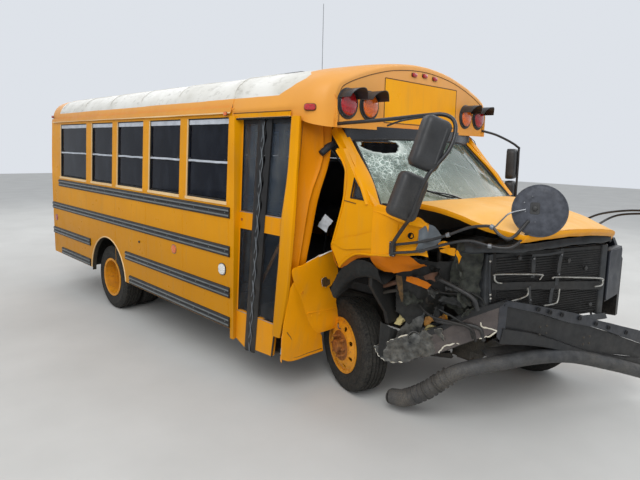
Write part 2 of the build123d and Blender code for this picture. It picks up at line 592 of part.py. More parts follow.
# Right fender: what is left of it above the torn arch
FENDER_R = [
    [(-1000, -3840, 1505), (-975, -3850, 1540), (-900, -3880, 1525), (-830, -3900, 1490)],
    [(-995, -3920, 1490), (-965, -3930, 1522), (-905, -3950, 1512), (-850, -3960, 1470)],
    [(-975, -4060, 1450), (-945, -4070, 1482), (-905, -4085, 1475), (-870, -4090, 1440)],
    [(-930, -4170, 1430), (-905, -4180, 1452), (-885, -4185, 1448), (-865, -4190, 1420)],
]
FENDER_R_SIDE = [
    [(-1003, -3840, 1500), (-998, -3920, 1486), (-978, -4060, 1446), (-933, -4170, 1426), (-865, -4270, 1335), (-795, -4355, 1240)],
    [(-1003, -3840, 1370), (-1003, -3930, 1365), (-990, -4060, 1345), (-950, -4170, 1330), (-880, -4275, 1285), (-795, -4357, 1232)],
    [(-1003, -3840, 1222), (-1003, -3930, 1240), (-1000, -4030, 1252), (-960, -4168, 1250), (-890, -4290, 1232), (-795, -4352, 1224)],
]
fender_top = sheet(FENDER_R, (0, 0, -12))
fender_side = sheet(FENDER_R_SIDE, (12, 0, 0))
add("fender_right", fender_top - right_pillar, fender_side - fender_top - right_pillar)

# Left fender, whole, with its wheel arch and headlamp housing
fender_left = side_slab([(-3795, 560), (-3795, 1440), (-3990, 1425), (-4400, 1360), (-4720, 1240), (-4790, 1080), (-4790, 620)], 945, 1000)
fender_left -= Pos(970, FRONT_AXLE_Y, TYRE_R) * Rot(0, 90, 0) * Cylinder(470, 120)
add("fender_left", fender_left)
top_left = sheet([
    [(945, -3795, 1428), (945, -3990, 1413), (945, -4400, 1348), (945, -4720, 1228)],
    [(880, -3795, 1440), (880, -3990, 1425), (880, -4400, 1358), (870, -4720, 1225)],
], (0, 0, -12))
top_left -= cowl + firewall + fender_left
add("fender_left", top_left)
add("fender_left", block(620, 945, -4790, -4735, 800, 1190))

# Radiator pack, pushed back on the right
PACK_TOP_R = (-455, -4385, 1255)
PACK_TOP_L = (600, -4778, 1205)
PACK_LOW_R = (-440, -4400, 760)
PACK_LOW_L = (600, -4790, 700)
PACK_STEP = (42, 112, 0)


def moved(point, step, share=1.0):
    return tuple(p + s * share for p, s in zip(point, step))


core_top = [moved(PACK_TOP_R, PACK_STEP, 0.25), moved(PACK_TOP_L, PACK_STEP, 0.25)]
core_low = [moved(PACK_LOW_R, PACK_STEP, 0.25), moved(PACK_LOW_L, PACK_STEP, 0.25)]
core = sheet([core_top, core_low], (34, 90, 0))
top_bar = bar((-520, -4345, 1274), (900, -4880, 1214), 90, 46)
low_bar = bar((-470, -4300, 722), (830, -4788, 682), 80, 34)
add("radiator_pack", core)
add("radiator_pack", top_bar - core)
add("radiator_pack", low_bar - core - left_rail - right_rail)

# Engine and gearbox as plain blocks
add("engine_block", block(-255, 260, -4230, -3620, 620, 1160) + block(-150, 150, -3620, -2700, 520, 690))
add("engine_block", block(260, 422, -3980, -3880, 640, 672), block(-280, -255, -3980, -3880, 640, 672))

# Bumper beam: channel stations from the left end to the kink and the crumpled right end
BEAM = (
    (1010, -5010, 575, 285, 75),
    (560, -4860, 700, 290, 80),
    (150, -4705, 815, 300, 80),
    (-420, -4500, 975, 330, 85),
    (-560, -4290, 800, 230, 80),
    (-620, -4010, 600, 190, 70),
    (-640, -3800, 500, 120, 50),
)
BEAM_GAUGE = 7


def beam_section(x, y, top, height, depth):
    points = []
    outline = [(0, 0), (0, -height), (depth, -height), (depth, -height + BEAM_GAUGE)]
    outline += [(BEAM_GAUGE, -height + BEAM_GAUGE), (BEAM_GAUGE, -BEAM_GAUGE), (depth, -BEAM_GAUGE), (depth, 0)]
    for back, up in outline:
        points.append((x + back * 0.35, y + back * 0.94, top + up))
    return points


beam = skin([beam_section(*station) for station in BEAM])
add("front_bumper_beam", beam - low_bar - top_bar - core)

# Loose plastic air dam, its right end torn down to the ground: rows of X, Y, Z and radius
DAM = (
    (-645, -3790, 105, 60),
    (-630, -3900, 130, 66),
    (-600, -4060, 240, 60),
    (-530, -4230, 400, 56),
    (-380, -4420, 480, 54),
    (-60, -4590, 495, 54),
    (240, -4715, 455, 54),
    (640, -4890, 330, 54),
    (960, -5030, 215, 54),
)


def ring(centre, along, radius, sides=10):
    normal = Vector(*along).normalized()
    across = normal.cross(Vector(0, 0, 1)).normalized()
    up = across.cross(normal).normalized()
    points = []
    for i in range(sides):
        turn = 2 * math.pi * i / sides
        p = Vector(*centre) + across * (radius * math.cos(turn)) + up * (radius * math.sin(turn))
        points.append(tuple(p))
    return points


def pipe(rows, sides=10):
    """Hose or bar of changing radius along rows of X, Y, Z and radius."""
    sections = []
    for i, (x, y, z, radius) in enumerate(rows):
        before = rows[max(i - 1, 0)]
        after = rows[min(i + 1, len(rows) - 1)]
        along = tuple(after[k] - before[k] for k in range(3))
        sections.append(ring((x, y, z), along, radius, sides))
    return skin(sections)


add("bumper_valance", pipe(DAM) - beam)

# Front suspension: cross beam, arms, knuckles and stub axles
add("front_suspension", block(-280, 365, -4230, -4090, 400, 500))
for x in (-345, 365):
    add("front_suspension", block(min(x, x + 65), max(x, x + 65), -4230, -4090, 440, 500))
left_arm = bar((365, -4160, 420), (735, -4160, 300), 150, 36)
left_knuckle = block(700, 752, -4200, -4120, 270, 520)
add("front_suspension", left_knuckle + left_arm + drum(752, 880, FRONT_AXLE_Y, TYRE_R, 20))


def hit(shape):
    """Place a right wheel piece, drawn about the origin, where the hit wheel stands."""
    return Pos(HIT_WHEEL[0], HIT_WHEEL[1], TYRE_R) * Rot(0, 0, -HIT_WHEEL_TURN) * shape


hit_stub = drum(-6, 122, 0, 0, 20)
hit_knuckle = block(122, 172, -40, 40, -96, 154)
upper_link = block(-440, BENT_RAIL_X, -3440, -3370, 505, 545)
lower_link = bar((-400, -4130, 460), (-425, -3425, 320), 60, 36)
hit_corner = hit(hit_stub + hit_knuckle) + upper_link + lower_link
hit_corner -= block(-410, -345, -4230, -4090, 440, 500)
add("front_suspension", hit_corner)

# Rear axle with drums' backing plates, springs and differential
half_axle = [(892, 0), (892, 45), (712, 45), (712, 150), (706, 150), (706, 45), (300, 45), (190, 60), (120, 148), (45, 176)]
whole_axle = half_axle + [(-a, r) for a, r in reversed(half_axle)]
axle = turned(whole_axle, 0, REAR_AXLE_Y, TYRE_R)
add("rear_axle", axle)
SPRING_X = 520
for side in (-1, 1):
    x0 = side * (SPRING_X - 32)
    x1 = side * (SPRING_X + 32)
    leaf = [(-780, 500), (-500, 440), (-230, 411), (-30, 411), (300, 440), (620, 510), (620, 540)]
    leaf += [(300, 475), (-30, 451), (-230, 451), (-500, 475), (-780, 530)]
    add("rear_axle", side_slab(leaf, x0, x1) - axle)
    add("rear_axle", block(x0, x1, -800, -740, 530, 640), block(x0, x1, 590, 650, 540, 640))
    add("rear_axle", block(side * RAIL_X, x0, -800, -740, 560, 640), block(side * RAIL_X, x0, 590, 650, 560, 640))


# Wheels: tyre and rim profiles as rows of distance outboard from the wheel's middle and radius
def tyre_ring():
    w = TYRE_HALF_W
    profile = [(-97, BEAD_R), (-97, 222), (-w, 285), (-w + 6, 335), (-w + 26, TYRE_R - 2)]
    profile += [(w - 26, TYRE_R - 2), (w - 6, 335), (w, 285), (97, 222), (97, BEAD_R)]
    middle = profile[:5] + [(0, TYRE_R)] + profile[5:]
    return turned(middle, 0, 0, 0)


def rim_ring(hub_r, hub_out, bore_r):
    """Rim whose disc stands outboard (towards -X) of the wheel's middle."""
    profile = [(-105, 195), (-105, 219), (-97, 219), (-97, BEAD_R), (97, BEAD_R), (97, 219), (105, 219), (105, 195)]
    profile += [(-84, 195), (-112.5, 140), (-112.5, 40), (-122.5, 40), (-122.5, 145), (-98, 195)]
    rim = turned(profile, 0, 0, 0)
    for k in range(8):
        turn = math.radians(45 * k + 22.5)
        rim -= Pos(-105, 158 * math.cos(turn), 158 * math.sin(turn)) * Rot(0, 90, 0) * Cylinder(19, 60)
    hub = turned([(-112.5, 0), (-122.5 - hub_out, 0), (-122.5 - hub_out, hub_r - 8), (-122.5 - hub_out + 8, hub_r), (-112.5, hub_r)], 0, 0, 0)
    return rim + hub


for side, name in ((-1, "right"), (1, "left")):
    place = Pos(0, REAR_AXLE_Y, TYRE_R)
    outer_tyre = Pos(side * DUAL_OUTER_X, 0, 0) * tyre_ring()
    inner_tyre = Pos(side * DUAL_INNER_X, 0, 0) * tyre_ring()
    add("tyres_rear_" + name, place * outer_tyre, place * inner_tyre)
    bowl = rim_ring(40, 0, 0)
    inner_rim = Pos(-DUAL_INNER_X, 0, 0) * bowl
    outer_rim = Pos(-DUAL_OUTER_X, 0, 0) * bowl.mirror(Plane.YZ)
    hub = turned([(-1010, 0), (-905, 0), (-905, 62), (-1000, 62), (-1010, 52)], 0, 0, 0)
    brake = turned([(-907, 45.5), (-907, 165), (-722, 165), (-722, 45.5)], 0, 0, 0)
    wheel = inner_rim + outer_rim + hub + brake
    wheel -= turned([(-906, 0), (-900, 0), (-700, 0), (-700, 45.5), (-893, 45.5), (-906, 20)], 0, 0, 0)
    if side == 1:
        wheel = mirrored(wheel)
    add("rims_rear_" + name, place * wheel)

front_rim = rim_ring(48, 46, 0) + turned([(-122, 0), (-20, 0), (-20, 70), (-112, 90), (-122, 90)], 0, 0, 0)
front_rim += turned([(-30, 0), (100, 0), (100, 140), (60, 140), (60, 70), (-30, 70)], 0, 0, 0)
front_rim -= turned([(-8, 0), (110, 0), (110, 20.5), (-8, 20.5)], 0, 0, 0)
left_front = mirrored(front_rim)
add("tyre_front_left", Pos(FRONT_WHEEL_X, FRONT_AXLE_Y, TYRE_R) * tyre_ring())
add("rim_front_left", Pos(FRONT_WHEEL_X, FRONT_AXLE_Y, TYRE_R) * left_front)
add("tyre_front_right", hit(tyre_ring()))
add("rim_front_right", hit(front_rim))

# Driver's seat and steering wheel
seat = block(280, 760, -3160, -2740, 1080, 1200)
seat_back = side_slab([(-2740, 1150), (-2640, 1750), (-2720, 1760), (-2820, 1200), (-2800, 1200)], 290, 750)
add("driver_seat", seat - seat_back, seat_back - block(895, 1150, -3330, -2660, 2085, 2128))
add("driver_seat", block(420, 620, -3060, -2860, FLOOR_TOP, 1080))
wheel_ring = Pos(520, -3330, 1330) * Rot(55, 0, 0) * Torus(190, 14)
column = tube([(520, -3480, 1240), (520, -3330, 1330)], 22)
spoke = Pos(520, -3330, 1330) * Rot(55, 0, 0) * Box(380, 40, 12)
add("driver_seat", wheel_ring + spoke + (column - block(-900, 900, -3800, -3480, 1200, 1500)))

# Passenger benches: rows of the back's rear station, on each side of the aisle
BENCH_ROWS = (1180, 460, -280, -1000, -1720)
for side in (-1, 1):
    for back_y in BENCH_ROWS:
        if side == -1 and back_y < -1700:
            continue
        x0 = side * 250
        x1 = side * 1120
        cushion = block(x0, x1, back_y - 470, back_y - 60, 1130, 1240)
        back = side_slab([(back_y - 90, 1130), (back_y - 50, 1760), (back_y, 1760), (back_y - 10, 1130)], x0, x1)
        add("passenger_seats", cushion - back, back)
        legs = block(side * 300, side * 330, back_y - 420, back_y - 80, FLOOR_TOP, 1130)
        legs_out = block(side * 1080, side * 1110, back_y - 420, back_y - 80, WELL_TOP, 1130)
        add("passenger_seats", legs, legs_out)

# Right mirrors: two heads on one bent arm, and the round crossview mirror on its own arms
ARM_BASE = (-985, -4010, 1310)


def mirror_head(x, y, z, yaw, roll, height=292):
    head = Box(185, 84, height)
    head = fillet(head.edges(), 26)
    return Pos(x, y, z) * Rot(0, roll, yaw) * head


head_high = mirror_head(-1085, -4330, 1955, -28, 18, 304)
head_low = mirror_head(-1095, -4195, 1650, -28, 18, 276)
mirror_arm = tube([(-1010, -4010, 1240), (-1040, -4120, 1480), (-1110, -4260, 1790), (-1120, -4400, 2095), (-960, -3600, 2080), (-930, -3485, 2075)], 11, 25)
disc = Plane(origin=(-735, -4790, 1585), z_dir=(-0.925, -0.365, 0.102)) * Cylinder(146, 24)
base_plate = block(-1018, -1000, -4040, -3965, 1225, 1345)
cross_arm_high = tube([(-1012, -3980, 1330), (-1005, -4140, 1380), (-930, -4330, 1440), (-800, -4560, 1470), (-760, -4660, 1430), (-735, -4770, 1560)], 8, 20)
cross_arm_low = tube([(-1012, -3980, 1245), (-1000, -4160, 1290), (-900, -4400, 1340), (-760, -4620, 1340), (-690, -4720, 1400), (-725, -4780, 1560)], 8, 20)
mirror_set = head_high + head_low + mirror_arm + disc + base_plate + cross_arm_high + cross_arm_low
mirror_set -= cap_out + fender_top + fender_side + cab_side + hood
add("mirrors_right", mirror_set)

# Left mirrors, undamaged
left_head_high = mirror_head(1300, -3690, 1790, 12, 0)
left_head_low = mirror_head(1300, -3690, 1480, 12, 0)
left_arm = tube([(990, -3860, 1300), (1300, -3740, 1330), (1300, -3740, 1960), (1120, -3600, 2060), (1000, -3500, 2100)], 11, 25)
add("mirrors_left", (left_head_high + left_head_low + left_arm) - cap_out - fender_left - top_left)
left_disc = Plane(origin=(930, -5010, 1500), z_dir=(0.45, -0.89, 0.05)) * Cylinder(140, 24)
left_cross = tube([(930, -4460, 1330), (960, -4700, 1440), (930, -5000, 1450)], 8, 20)
add("mirrors_left", (left_disc + left_cross) - fender_left - top_left - hood)

# Stop arm on the left side, folded flat
STOP_PIN = (1262, -2345)
OCTAGON = []
for k in range(8):
    turn = math.radians(22.5 + 45 * k)
    OCTAGON.append((-2095 + 240 * math.cos(turn), 1222 + 240 * math.sin(turn)))
arm = side_slab(OCTAGON, 1260, 1264)
arm += upright(STOP_PIN[0], STOP_PIN[1], 1150, 1290, 8)
arm += block(1260, 1264, STOP_PIN[1], -2250, 1160, 1280)
add("stop_arm", arm)
bracket = block(1219, 1250, -2420, -2340, 1130, 1310)
bracket -= block(1240, 1300, -2360, -2300, 1145, 1295)
for start, end in ((1130, 1149.5), (1290.5, 1310)):
    bracket += upright(STOP_PIN[0], STOP_PIN[1], start, end, 8) + block(1235, STOP_PIN[0], -2380, STOP_PIN[1], start, end)
add("bulkhead_left", bracket)

# Rear bumper, fuel tank, exhaust and antenna
add("rear_bumper", block(-1150, 1150, REAR_Y, REAR_Y + 110, 470, 690) - block(-1140, 1140, REAR_Y - 1, REAR_Y + 100, 480, 680))
add("fuel_tank", block(-330, 330, 760, 1300, 330, 500) + block(-422, -330, 800, 900, 490, 500))
add("antenna", tube([(-600, -2944, 2400), (-600, -2944, 3020)], 2.5) - cap_out)

OUTLINE_LOW = [1e9, 1e9, 1e9]
OUTLINE_HIGH = [-1e9, -1e9, -1e9]
for solids in NODES.values():
    for solid in solids:
        box = solid.bounding_box()
        for k in range(3):
            OUTLINE_LOW[k] = min(OUTLINE_LOW[k], tuple(box.min)[k])
            OUTLINE_HIGH[k] = max(OUTLINE_HIGH[k], tuple(box.max)[k])
SHIFT = (-(OUTLINE_LOW[0] + OUTLINE_HIGH[0]) / 2, -(OUTLINE_LOW[1] + OUTLINE_HIGH[1]) / 2, -OUTLINE_LOW[2])
print("shift", [round(v, 3) for v in SHIFT])
print("size", [round(OUTLINE_HIGH[k] - OUTLINE_LOW[k], 1) for k in range(3)])
for name, solids in NODES.items():
    whole = Compound([solid.moved(Location(SHIFT)) for solid in solids])
    export_step(whole, "parts/" + name + ".step")
print(len(NODES), "nodes")
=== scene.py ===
import math

import bpy
import bmesh
from mathutils import Matrix, Vector, noise
from mathutils.bvhtree import BVHTree


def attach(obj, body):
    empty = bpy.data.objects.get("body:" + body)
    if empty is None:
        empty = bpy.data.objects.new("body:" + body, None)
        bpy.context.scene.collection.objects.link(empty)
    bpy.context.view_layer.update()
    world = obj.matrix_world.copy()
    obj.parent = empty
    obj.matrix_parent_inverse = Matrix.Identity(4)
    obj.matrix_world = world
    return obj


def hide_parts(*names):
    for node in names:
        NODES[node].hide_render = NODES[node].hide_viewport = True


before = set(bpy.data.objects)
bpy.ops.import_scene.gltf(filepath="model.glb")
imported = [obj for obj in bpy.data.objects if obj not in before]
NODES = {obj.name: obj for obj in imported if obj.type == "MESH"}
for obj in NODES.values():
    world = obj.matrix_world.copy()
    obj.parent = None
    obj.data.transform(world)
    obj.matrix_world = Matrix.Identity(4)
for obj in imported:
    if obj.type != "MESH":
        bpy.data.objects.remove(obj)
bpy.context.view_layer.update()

# Row frame: drawing millimetres plus the shift of the origin, in metres
SHIFT = (-78.687, 1715.588, 0.0)


def mm(x, y, z):
    return ((x + SHIFT[0]) / 1000, (y + SHIFT[1]) / 1000, (z + SHIFT[2]) / 1000)


def x_at(x):
    """Scene X of a drawing X."""
    return mm(x, 0, 0)[0]


def y_at(y):
    """Scene Y of a drawing Y."""
    return mm(0, y, 0)[1]


# Body sizes in drawing millimetres: half widths, belt and gutter heights, both ends, floors and wheel arches
HALF_W, HEAD_HALF_W, BELT_Z, GUTTER_Z = 1219, 1190, 1450, 2190
CAP_Y, REAR_Y = -3505, 1523
FLOOR_TOP, WELL_TOP = 768, 905
REAR_ARCH_Y, FRONT_ARCH_Y, ARCH_Z = -200, -4160, 392


# Camera: solved from the photograph
IMAGE_W, IMAGE_H = 640, 480
SENSOR_MM = 36
CAM_AT = mm(-3568.7, -5908.4, 1899.2)
CAM_YAW, CAM_PITCH, CAM_ROLL = 45.1739, 7.4375, 1.3206
FOCAL_PX = 512.87
PRINCIPAL_ROW = 215.12


def make_camera():
    yaw, pitch, roll = (math.radians(a) for a in (CAM_YAW, CAM_PITCH, CAM_ROLL))
    look = Vector((math.sin(yaw) * math.cos(pitch), math.cos(yaw) * math.cos(pitch), -math.sin(pitch)))
    level = Vector((math.cos(yaw), -math.sin(yaw), 0))
    above = level.cross(look)
    right = level * math.cos(roll) + above * math.sin(roll)
    up = above * math.cos(roll) - level * math.sin(roll)
    data = bpy.data.cameras.new("camera")
    data.sensor_width = SENSOR_MM
    data.lens = FOCAL_PX / IMAGE_W * SENSOR_MM
    data.shift_y = (PRINCIPAL_ROW - IMAGE_H / 2) / IMAGE_W
    data.clip_end = 60
    cam = bpy.data.objects.new("camera", data)
    turn = Matrix((right, up, -look)).transposed().to_4x4()
    cam.matrix_world = Matrix.Translation(CAM_AT) @ turn
    bpy.context.scene.collection.objects.link(cam)
    bpy.context.scene.camera = cam


make_camera()


def linear(code):
    """Linear colour of an sRGB hex code."""
    parts = [int(code[i:i + 2], 16) / 255 for i in (0, 2, 4)]
    return [v / 12.92 if v <= 0.04045 else ((v + 0.055) / 1.055) ** 2.4 for v in parts] + [1.0]


# Materials are built from the row frame's own coordinates, so a pattern keeps its real size
class Look:
    def __init__(self, name, rough=0.5, metal=0.0, coat=0.0, spec=0.5):
        self.mat = bpy.data.materials.new(name)
        self.mat.use_nodes = True
        self.tree = self.mat.node_tree
        self.shader = self.tree.nodes["Principled BSDF"]
        self.shader.inputs["Roughness"].default_value = rough
        self.shader.inputs["Metallic"].default_value = metal
        self.shader.inputs["Coat Weight"].default_value = coat
        self.shader.inputs["Specular IOR Level"].default_value = spec
        self.where = self.tree.nodes.new("ShaderNodeTexCoord").outputs["Object"]
        self.normal = None

    def link(self, value, socket):
        if isinstance(value, bpy.types.NodeSocket):
            self.tree.links.new(value, socket)
        else:
            socket.default_value = value

    def stretched(self, scale):
        """Coordinates multiplied along X, Y and Z."""
        node = self.tree.nodes.new("ShaderNodeMapping")
        node.inputs["Scale"].default_value = scale
        self.tree.links.new(self.where, node.inputs["Vector"])
        return node.outputs["Vector"]

    def noise(self, size_mm, detail=4, rough=0.55, stretch=(1, 1, 1)):
        """Noise whose lumps are about size_mm across."""
        node = self.tree.nodes.new("ShaderNodeTexNoise")
        node.inputs["Scale"].default_value = 1000 / size_mm
        node.inputs["Detail"].default_value = detail
        node.inputs["Roughness"].default_value = rough
        self.tree.links.new(self.stretched(stretch), node.inputs["Vector"])
        return node.outputs["Fac"]

    def cells(self, size_mm, feature="DISTANCE_TO_EDGE", stretch=(1, 1, 1)):
        node = self.tree.nodes.new("ShaderNodeTexVoronoi")
        node.feature = feature
        node.inputs["Scale"].default_value = 1000 / size_mm
        self.tree.links.new(self.stretched(stretch), node.inputs["Vector"])
        return node.outputs["Distance"]

    def axis(self, index):
        """One coordinate: 0 for X, 1 for Y, 2 for Z."""
        node = self.tree.nodes.new("ShaderNodeSeparateXYZ")
        self.tree.links.new(self.where, node.inputs[0])
        return node.outputs[index]

    def math(self, kind, a, b, clamp=False):
        node = self.tree.nodes.new("ShaderNodeMath")
        node.operation = kind
        node.use_clamp = clamp
        self.link(a, node.inputs[0])
        self.link(b, node.inputs[1])
        return node.outputs[0]

    def times(self, a, b):
        return self.math("MULTIPLY", a, b)

    def plus(self, a, b, clamp=False):
        return self.math("ADD", a, b, clamp)

    def most(self, a, b):
        return self.math("MAXIMUM", a, b)

    def span(self, value, low, high, out_low=0.0, out_high=1.0):
        """Value between low and high, mapped to the output range and held there."""
        node = self.tree.nodes.new("ShaderNodeMapRange")
        node.clamp = True
        self.link(value, node.inputs["Value"])
        for name, number in zip(("From Min", "From Max", "To Min", "To Max"),
                                (low, high, out_low, out_high)):
            node.inputs[name].default_value = number
        return node.outputs[0]

    def mix(self, share, a, b):
        """Colours a to b; each is a hex code or a node's output."""
        node = self.tree.nodes.new("ShaderNodeMix")
        node.data_type = "RGBA"
        self.link(share, node.inputs[0])
        self.link(linear(a) if isinstance(a, str) else a, node.inputs[6])
        self.link(linear(b) if isinstance(b, str) else b, node.inputs[7])
        return node.outputs[2]

    def tone(self, size_mm, a, b, detail=5, low=0.3, high=0.7):
        """Colours a and b in patches of about the given size."""
        return self.mix(self.span(self.noise(size_mm, detail), low, high), a, b)

    def bump(self, value, depth_mm, strength=1.0):
        node = self.tree.nodes.new("ShaderNodeBump")
        node.inputs["Strength"].default_value = strength
        node.inputs["Distance"].default_value = depth_mm / 1000
        self.link(value, node.inputs["Height"])
        if self.normal is not None:
            self.tree.links.new(self.normal, node.inputs["Normal"])
        self.normal = node.outputs[0]
        self.tree.links.new(self.normal, self.shader.inputs["Normal"])

    def color(self, value):
        self.link(linear(value) if isinstance(value, str) else value, self.shader.inputs["Base Color"])

    def rough(self, value):
        self.link(value, self.shader.inputs["Roughness"])

    def dust(self, base, code="9A8C74", top=0.95, amount=0.75):
        """Road dust that thickens towards the ground, broken up by noise."""
        rise = self.span(self.axis(2), 0.25, top, 1.0, 0.0)
        patch = self.span(self.noise(240, 5), 0.3, 0.75)
        fine = self.span(self.noise(9, 3), 0.25, 0.8)
        share = self.times(self.times(rise, patch), self.times(fine, amount))
        return self.mix(share, base, code), share


def painted(name, base, worn, dust_top=1.0, dust_amount=0.5, rough=0.32, streaks=0.14, low_shade=None,
            crown=None):
    """Weathered bus enamel: tone changes, rain streaks, road dust, fine chips, slight panel waviness,
    optional painted shade low down and optional painted highlight patches.
    """
    look = Look(name, rough, spec=0.1)
    color = look.tone(700, base, worn, 3)
    # Painted shade: the lower body is darkened towards the given colour
    if low_shade:
        color = look.mix(look.span(look.axis(2), 0.7, 1.5, 0.8, 0.0), color, low_shade)
    streak = look.span(look.noise(60, 4, 0.6, (1, 1, 0.12)), 0.52, 0.72, 0.0, streaks)
    color = look.mix(streak, color, "8A7A58")
    spot = look.span(look.noise(5, 2), 0.73, 0.78, 0.0, 0.5)
    color = look.mix(spot, color, "6B5A3A")
    # Painted highlight: pale patches over the top of a panel
    if crown:
        color = look.mix(look.span(look.noise(260, 4), 0.25, 0.7, 0.12, 0.5), color, crown)
    color, share = look.dust(color, top=dust_top, amount=dust_amount)
    look.color(color)
    sheen = look.span(look.noise(90, 5), 0.3, 0.75, rough - 0.06, rough + 0.14)
    look.rough(look.plus(sheen, look.times(share, 0.35), True))
    look.bump(look.noise(420, 2), 2.4, 0.25)
    look.bump(look.noise(2.5, 2), 0.05, 0.3)
    return look.mat


# Bus yellow enamel over steel sheet, darker towards the bottom as painted shade
YELLOW = painted("bus_yellow_enamel", "E39A06", "D38C02", dust_top=0.8, dust_amount=0.22, low_shade="B87A00")
# The front mouldings' slightly redder gelcoat
CAP_YELLOW = painted("cap_yellow_gelcoat", "E8980C", "DA8A08", dust_top=0.5, rough=0.38)


def make_roof_paint():
    """White roof enamel, chalked and grimy, above a masked yellow edge, front and rear."""
    look = Look("roof_white_enamel", 0.45, spec=0.25)
    z = look.axis(2)
    y = look.axis(1)
    wobble = look.times(look.noise(300, 3), 0.012)
    above = look.span(look.plus(z, wobble), 2.266, 2.269)
    front = y_at(-3100)
    edge = look.plus(look.span(z, 2.265, 2.31, 0, -0.095), look.span(z, 2.31, 2.37, 0, -0.09))
    edge = look.plus(edge, look.span(z, 2.404, 2.47, front, front + 0.13))
    behind = look.span(look.math("SUBTRACT", y, edge), 0.0, 0.004)
    ahead = look.span(y, y_at(1240), y_at(1244), 1.0, 0.0)
    white = look.tone(380, "DEDCD5", "C4C1B7", low=0.35)
    grime = look.span(look.noise(45, 5, 0.65, (1, 0.5, 1)), 0.55, 0.72, 0.0, 0.45)
    white = look.mix(grime, white, "7C776B")
    yellow = look.tone(500, "E6960C", "D88A08", 3)
    yellow = look.mix(look.span(look.plus(z, wobble), 2.12, 2.42, 0.18, 0.4), yellow, "DAB07C")
    share = look.times(look.times(above, behind), ahead)
    look.color(look.mix(share, yellow, white))
    look.rough(look.span(look.noise(70, 4), 0.3, 0.7, 0.34, 0.55))
    look.bump(look.noise(400, 2), 2.5, 0.3)
    return look.mat


ROOF = make_roof_paint()


def plain(name, base, worn, rough, metal=0.0, grain_mm=3.0, grain_depth=0.15, dust_top=1.0,
          dust_amount=0.6, size_mm=120, coat=0.0, dusty="9A8C74"):
    """Two-tone surface with grain, handling wear and road dust."""
    look = Look(name, rough, metal, coat)
    color = look.tone(size_mm, base, worn, high=0.72)
    color, share = look.dust(color, dusty, dust_top, dust_amount)
    look.color(color)
    sheen = look.span(look.noise(size_mm * 0.4, 5), 0.3, 0.7, rough - 0.1, rough + 0.1)
    look.rough(look.plus(sheen, look.times(share, 0.3), True))
    look.bump(look.noise(grain_mm, 3), grain_depth, 0.6)
    return look.mat


# Rivets and screws in the yellow panels and in the roof: radius, height, paint and sides
RIVET, SMALL_RIVET, ROOF_RIVET = (5, 3, YELLOW, 8), (4.5, 2.5, YELLOW, 8), (5, 3, ROOF, 8)
# Satin black enamel of the rub rails
RAIL = plain("rail_black_enamel", "060709", "0B0C0F", 0.5, dust_top=1.5, dust_amount=0.1, grain_depth=0.02)
# Chassis paint under road dirt
CHASSIS = plain("chassis_black_dirt", "141413", "2A2722", 0.75, dust_top=1.4, dust_amount=0.5)
# Grained black mirror and trim plastic
PLASTIC = plain("black_grained_plastic", "1A1B1D", "2A2C2F", 0.5, grain_mm=1.6, grain_depth=0.12,
                dust_top=2.6, dust_amount=0.25)
# Door seal and gasket rubber
RUBBER = plain("seal_rubber", "08080A", "121315", 0.62, dust_top=1.6, dust_amount=0.25)
# Zinc plated and bare steel fittings
STEEL = plain("bare_steel", "8F9194", "6A6C6E", 0.38, 0.9, dust_top=0.8, dust_amount=0.4)
# Anodised aluminium sash bars
SASH = plain("sash_aluminium", "A9ABAC", "7E8082", 0.42, 0.8, dust_top=0.8, dust_amount=0.2)
# Cast iron and alloy under oil and dust
IRON = plain("oily_castings", "262523", "403A34", 0.6, 0.3, grain_mm=5, grain_depth=0.6, dust_top=1.4,
             dust_amount=0.5)
# Rubber floor mat and inner trim
FLOOR = plain("floor_mat_grey", "3A3B3D", "2B2C2E", 0.7, dust_top=2.0, dust_amount=0.4)


def make_dash():
    """Grey moulded dash inside; the firewall's engine side is black sound-deadened steel."""
    look = Look("dash_grained_plastic", 0.62)
    inside = look.tone(120, "4A4742", "383632", high=0.72)
    outside = look.tone(90, "0C0C0B", "191714", high=0.72)
    ahead = look.span(look.axis(1), y_at(-3768), y_at(-3762), 1.0, 0.0)
    color, _ = look.dust(inside, top=1.6, amount=0.5)
    look.color(look.mix(ahead, color, outside))
    look.bump(look.noise(1.8, 3), 0.15, 0.6)
    return look.mat


DASH = make_dash()


def make_left_fender_paint():
    """Yellow enamel; the lamp surround at the fender's nose is black plastic, and the fender's inner side is
    black as painted shade.
    """
    look = Look("left_fender_enamel", 0.34, spec=0.1)
    yellow = look.tone(700, "E39A06", "D38C02", 3)
    black = look.tone(120, "101216", "1A1C21", 4)
    nose = look.span(look.axis(1), y_at(-4700), y_at(-4690), 1.0, 0.0)
    # Painted shade: the fender's inner side, seen under the hood, is black
    inside = look.span(look.axis(0), x_at(945), x_at(955), 1.0, 0.0)
    color, _ = look.dust(look.mix(look.most(nose, inside), yellow, black), top=1.0, amount=0.5)
    look.color(color)
    look.bump(look.noise(420, 2), 2.4, 0.25)
    return look.mat


LEFT_FENDER = make_left_fender_paint()


def make_dark_glass(name, tint, alpha, dusty=0.25, spec=0.1, low_alpha=None, dirt="3E4550"):
    """Tinted toughened glass with wipe marks and dust towards its lower edge."""
    look = Look(name, 0.06, spec=spec)
    film = look.span(look.noise(160, 5, 0.6, (1, 1, 0.5)), 0.45, 0.8, 0.0, dusty)
    look.color(look.mix(film, tint, dirt))
    look.rough(look.span(look.noise(60, 4), 0.35, 0.7, 0.03, 0.1))
    body = look.span(look.axis(2), 1.2, 1.4, alpha if low_alpha is None else low_alpha, alpha)
    look.link(look.plus(look.times(film, 0.3), body, True), look.shader.inputs["Alpha"])
    return look.mat


GLASS = make_dark_glass("tinted_side_glass", "050A16", 0.9, 0.22)
DOOR_GLASS = make_dark_glass("entry_door_glass", "3C4652", 0.42, 0.55, 0.4, 0.1, dirt="77756A")


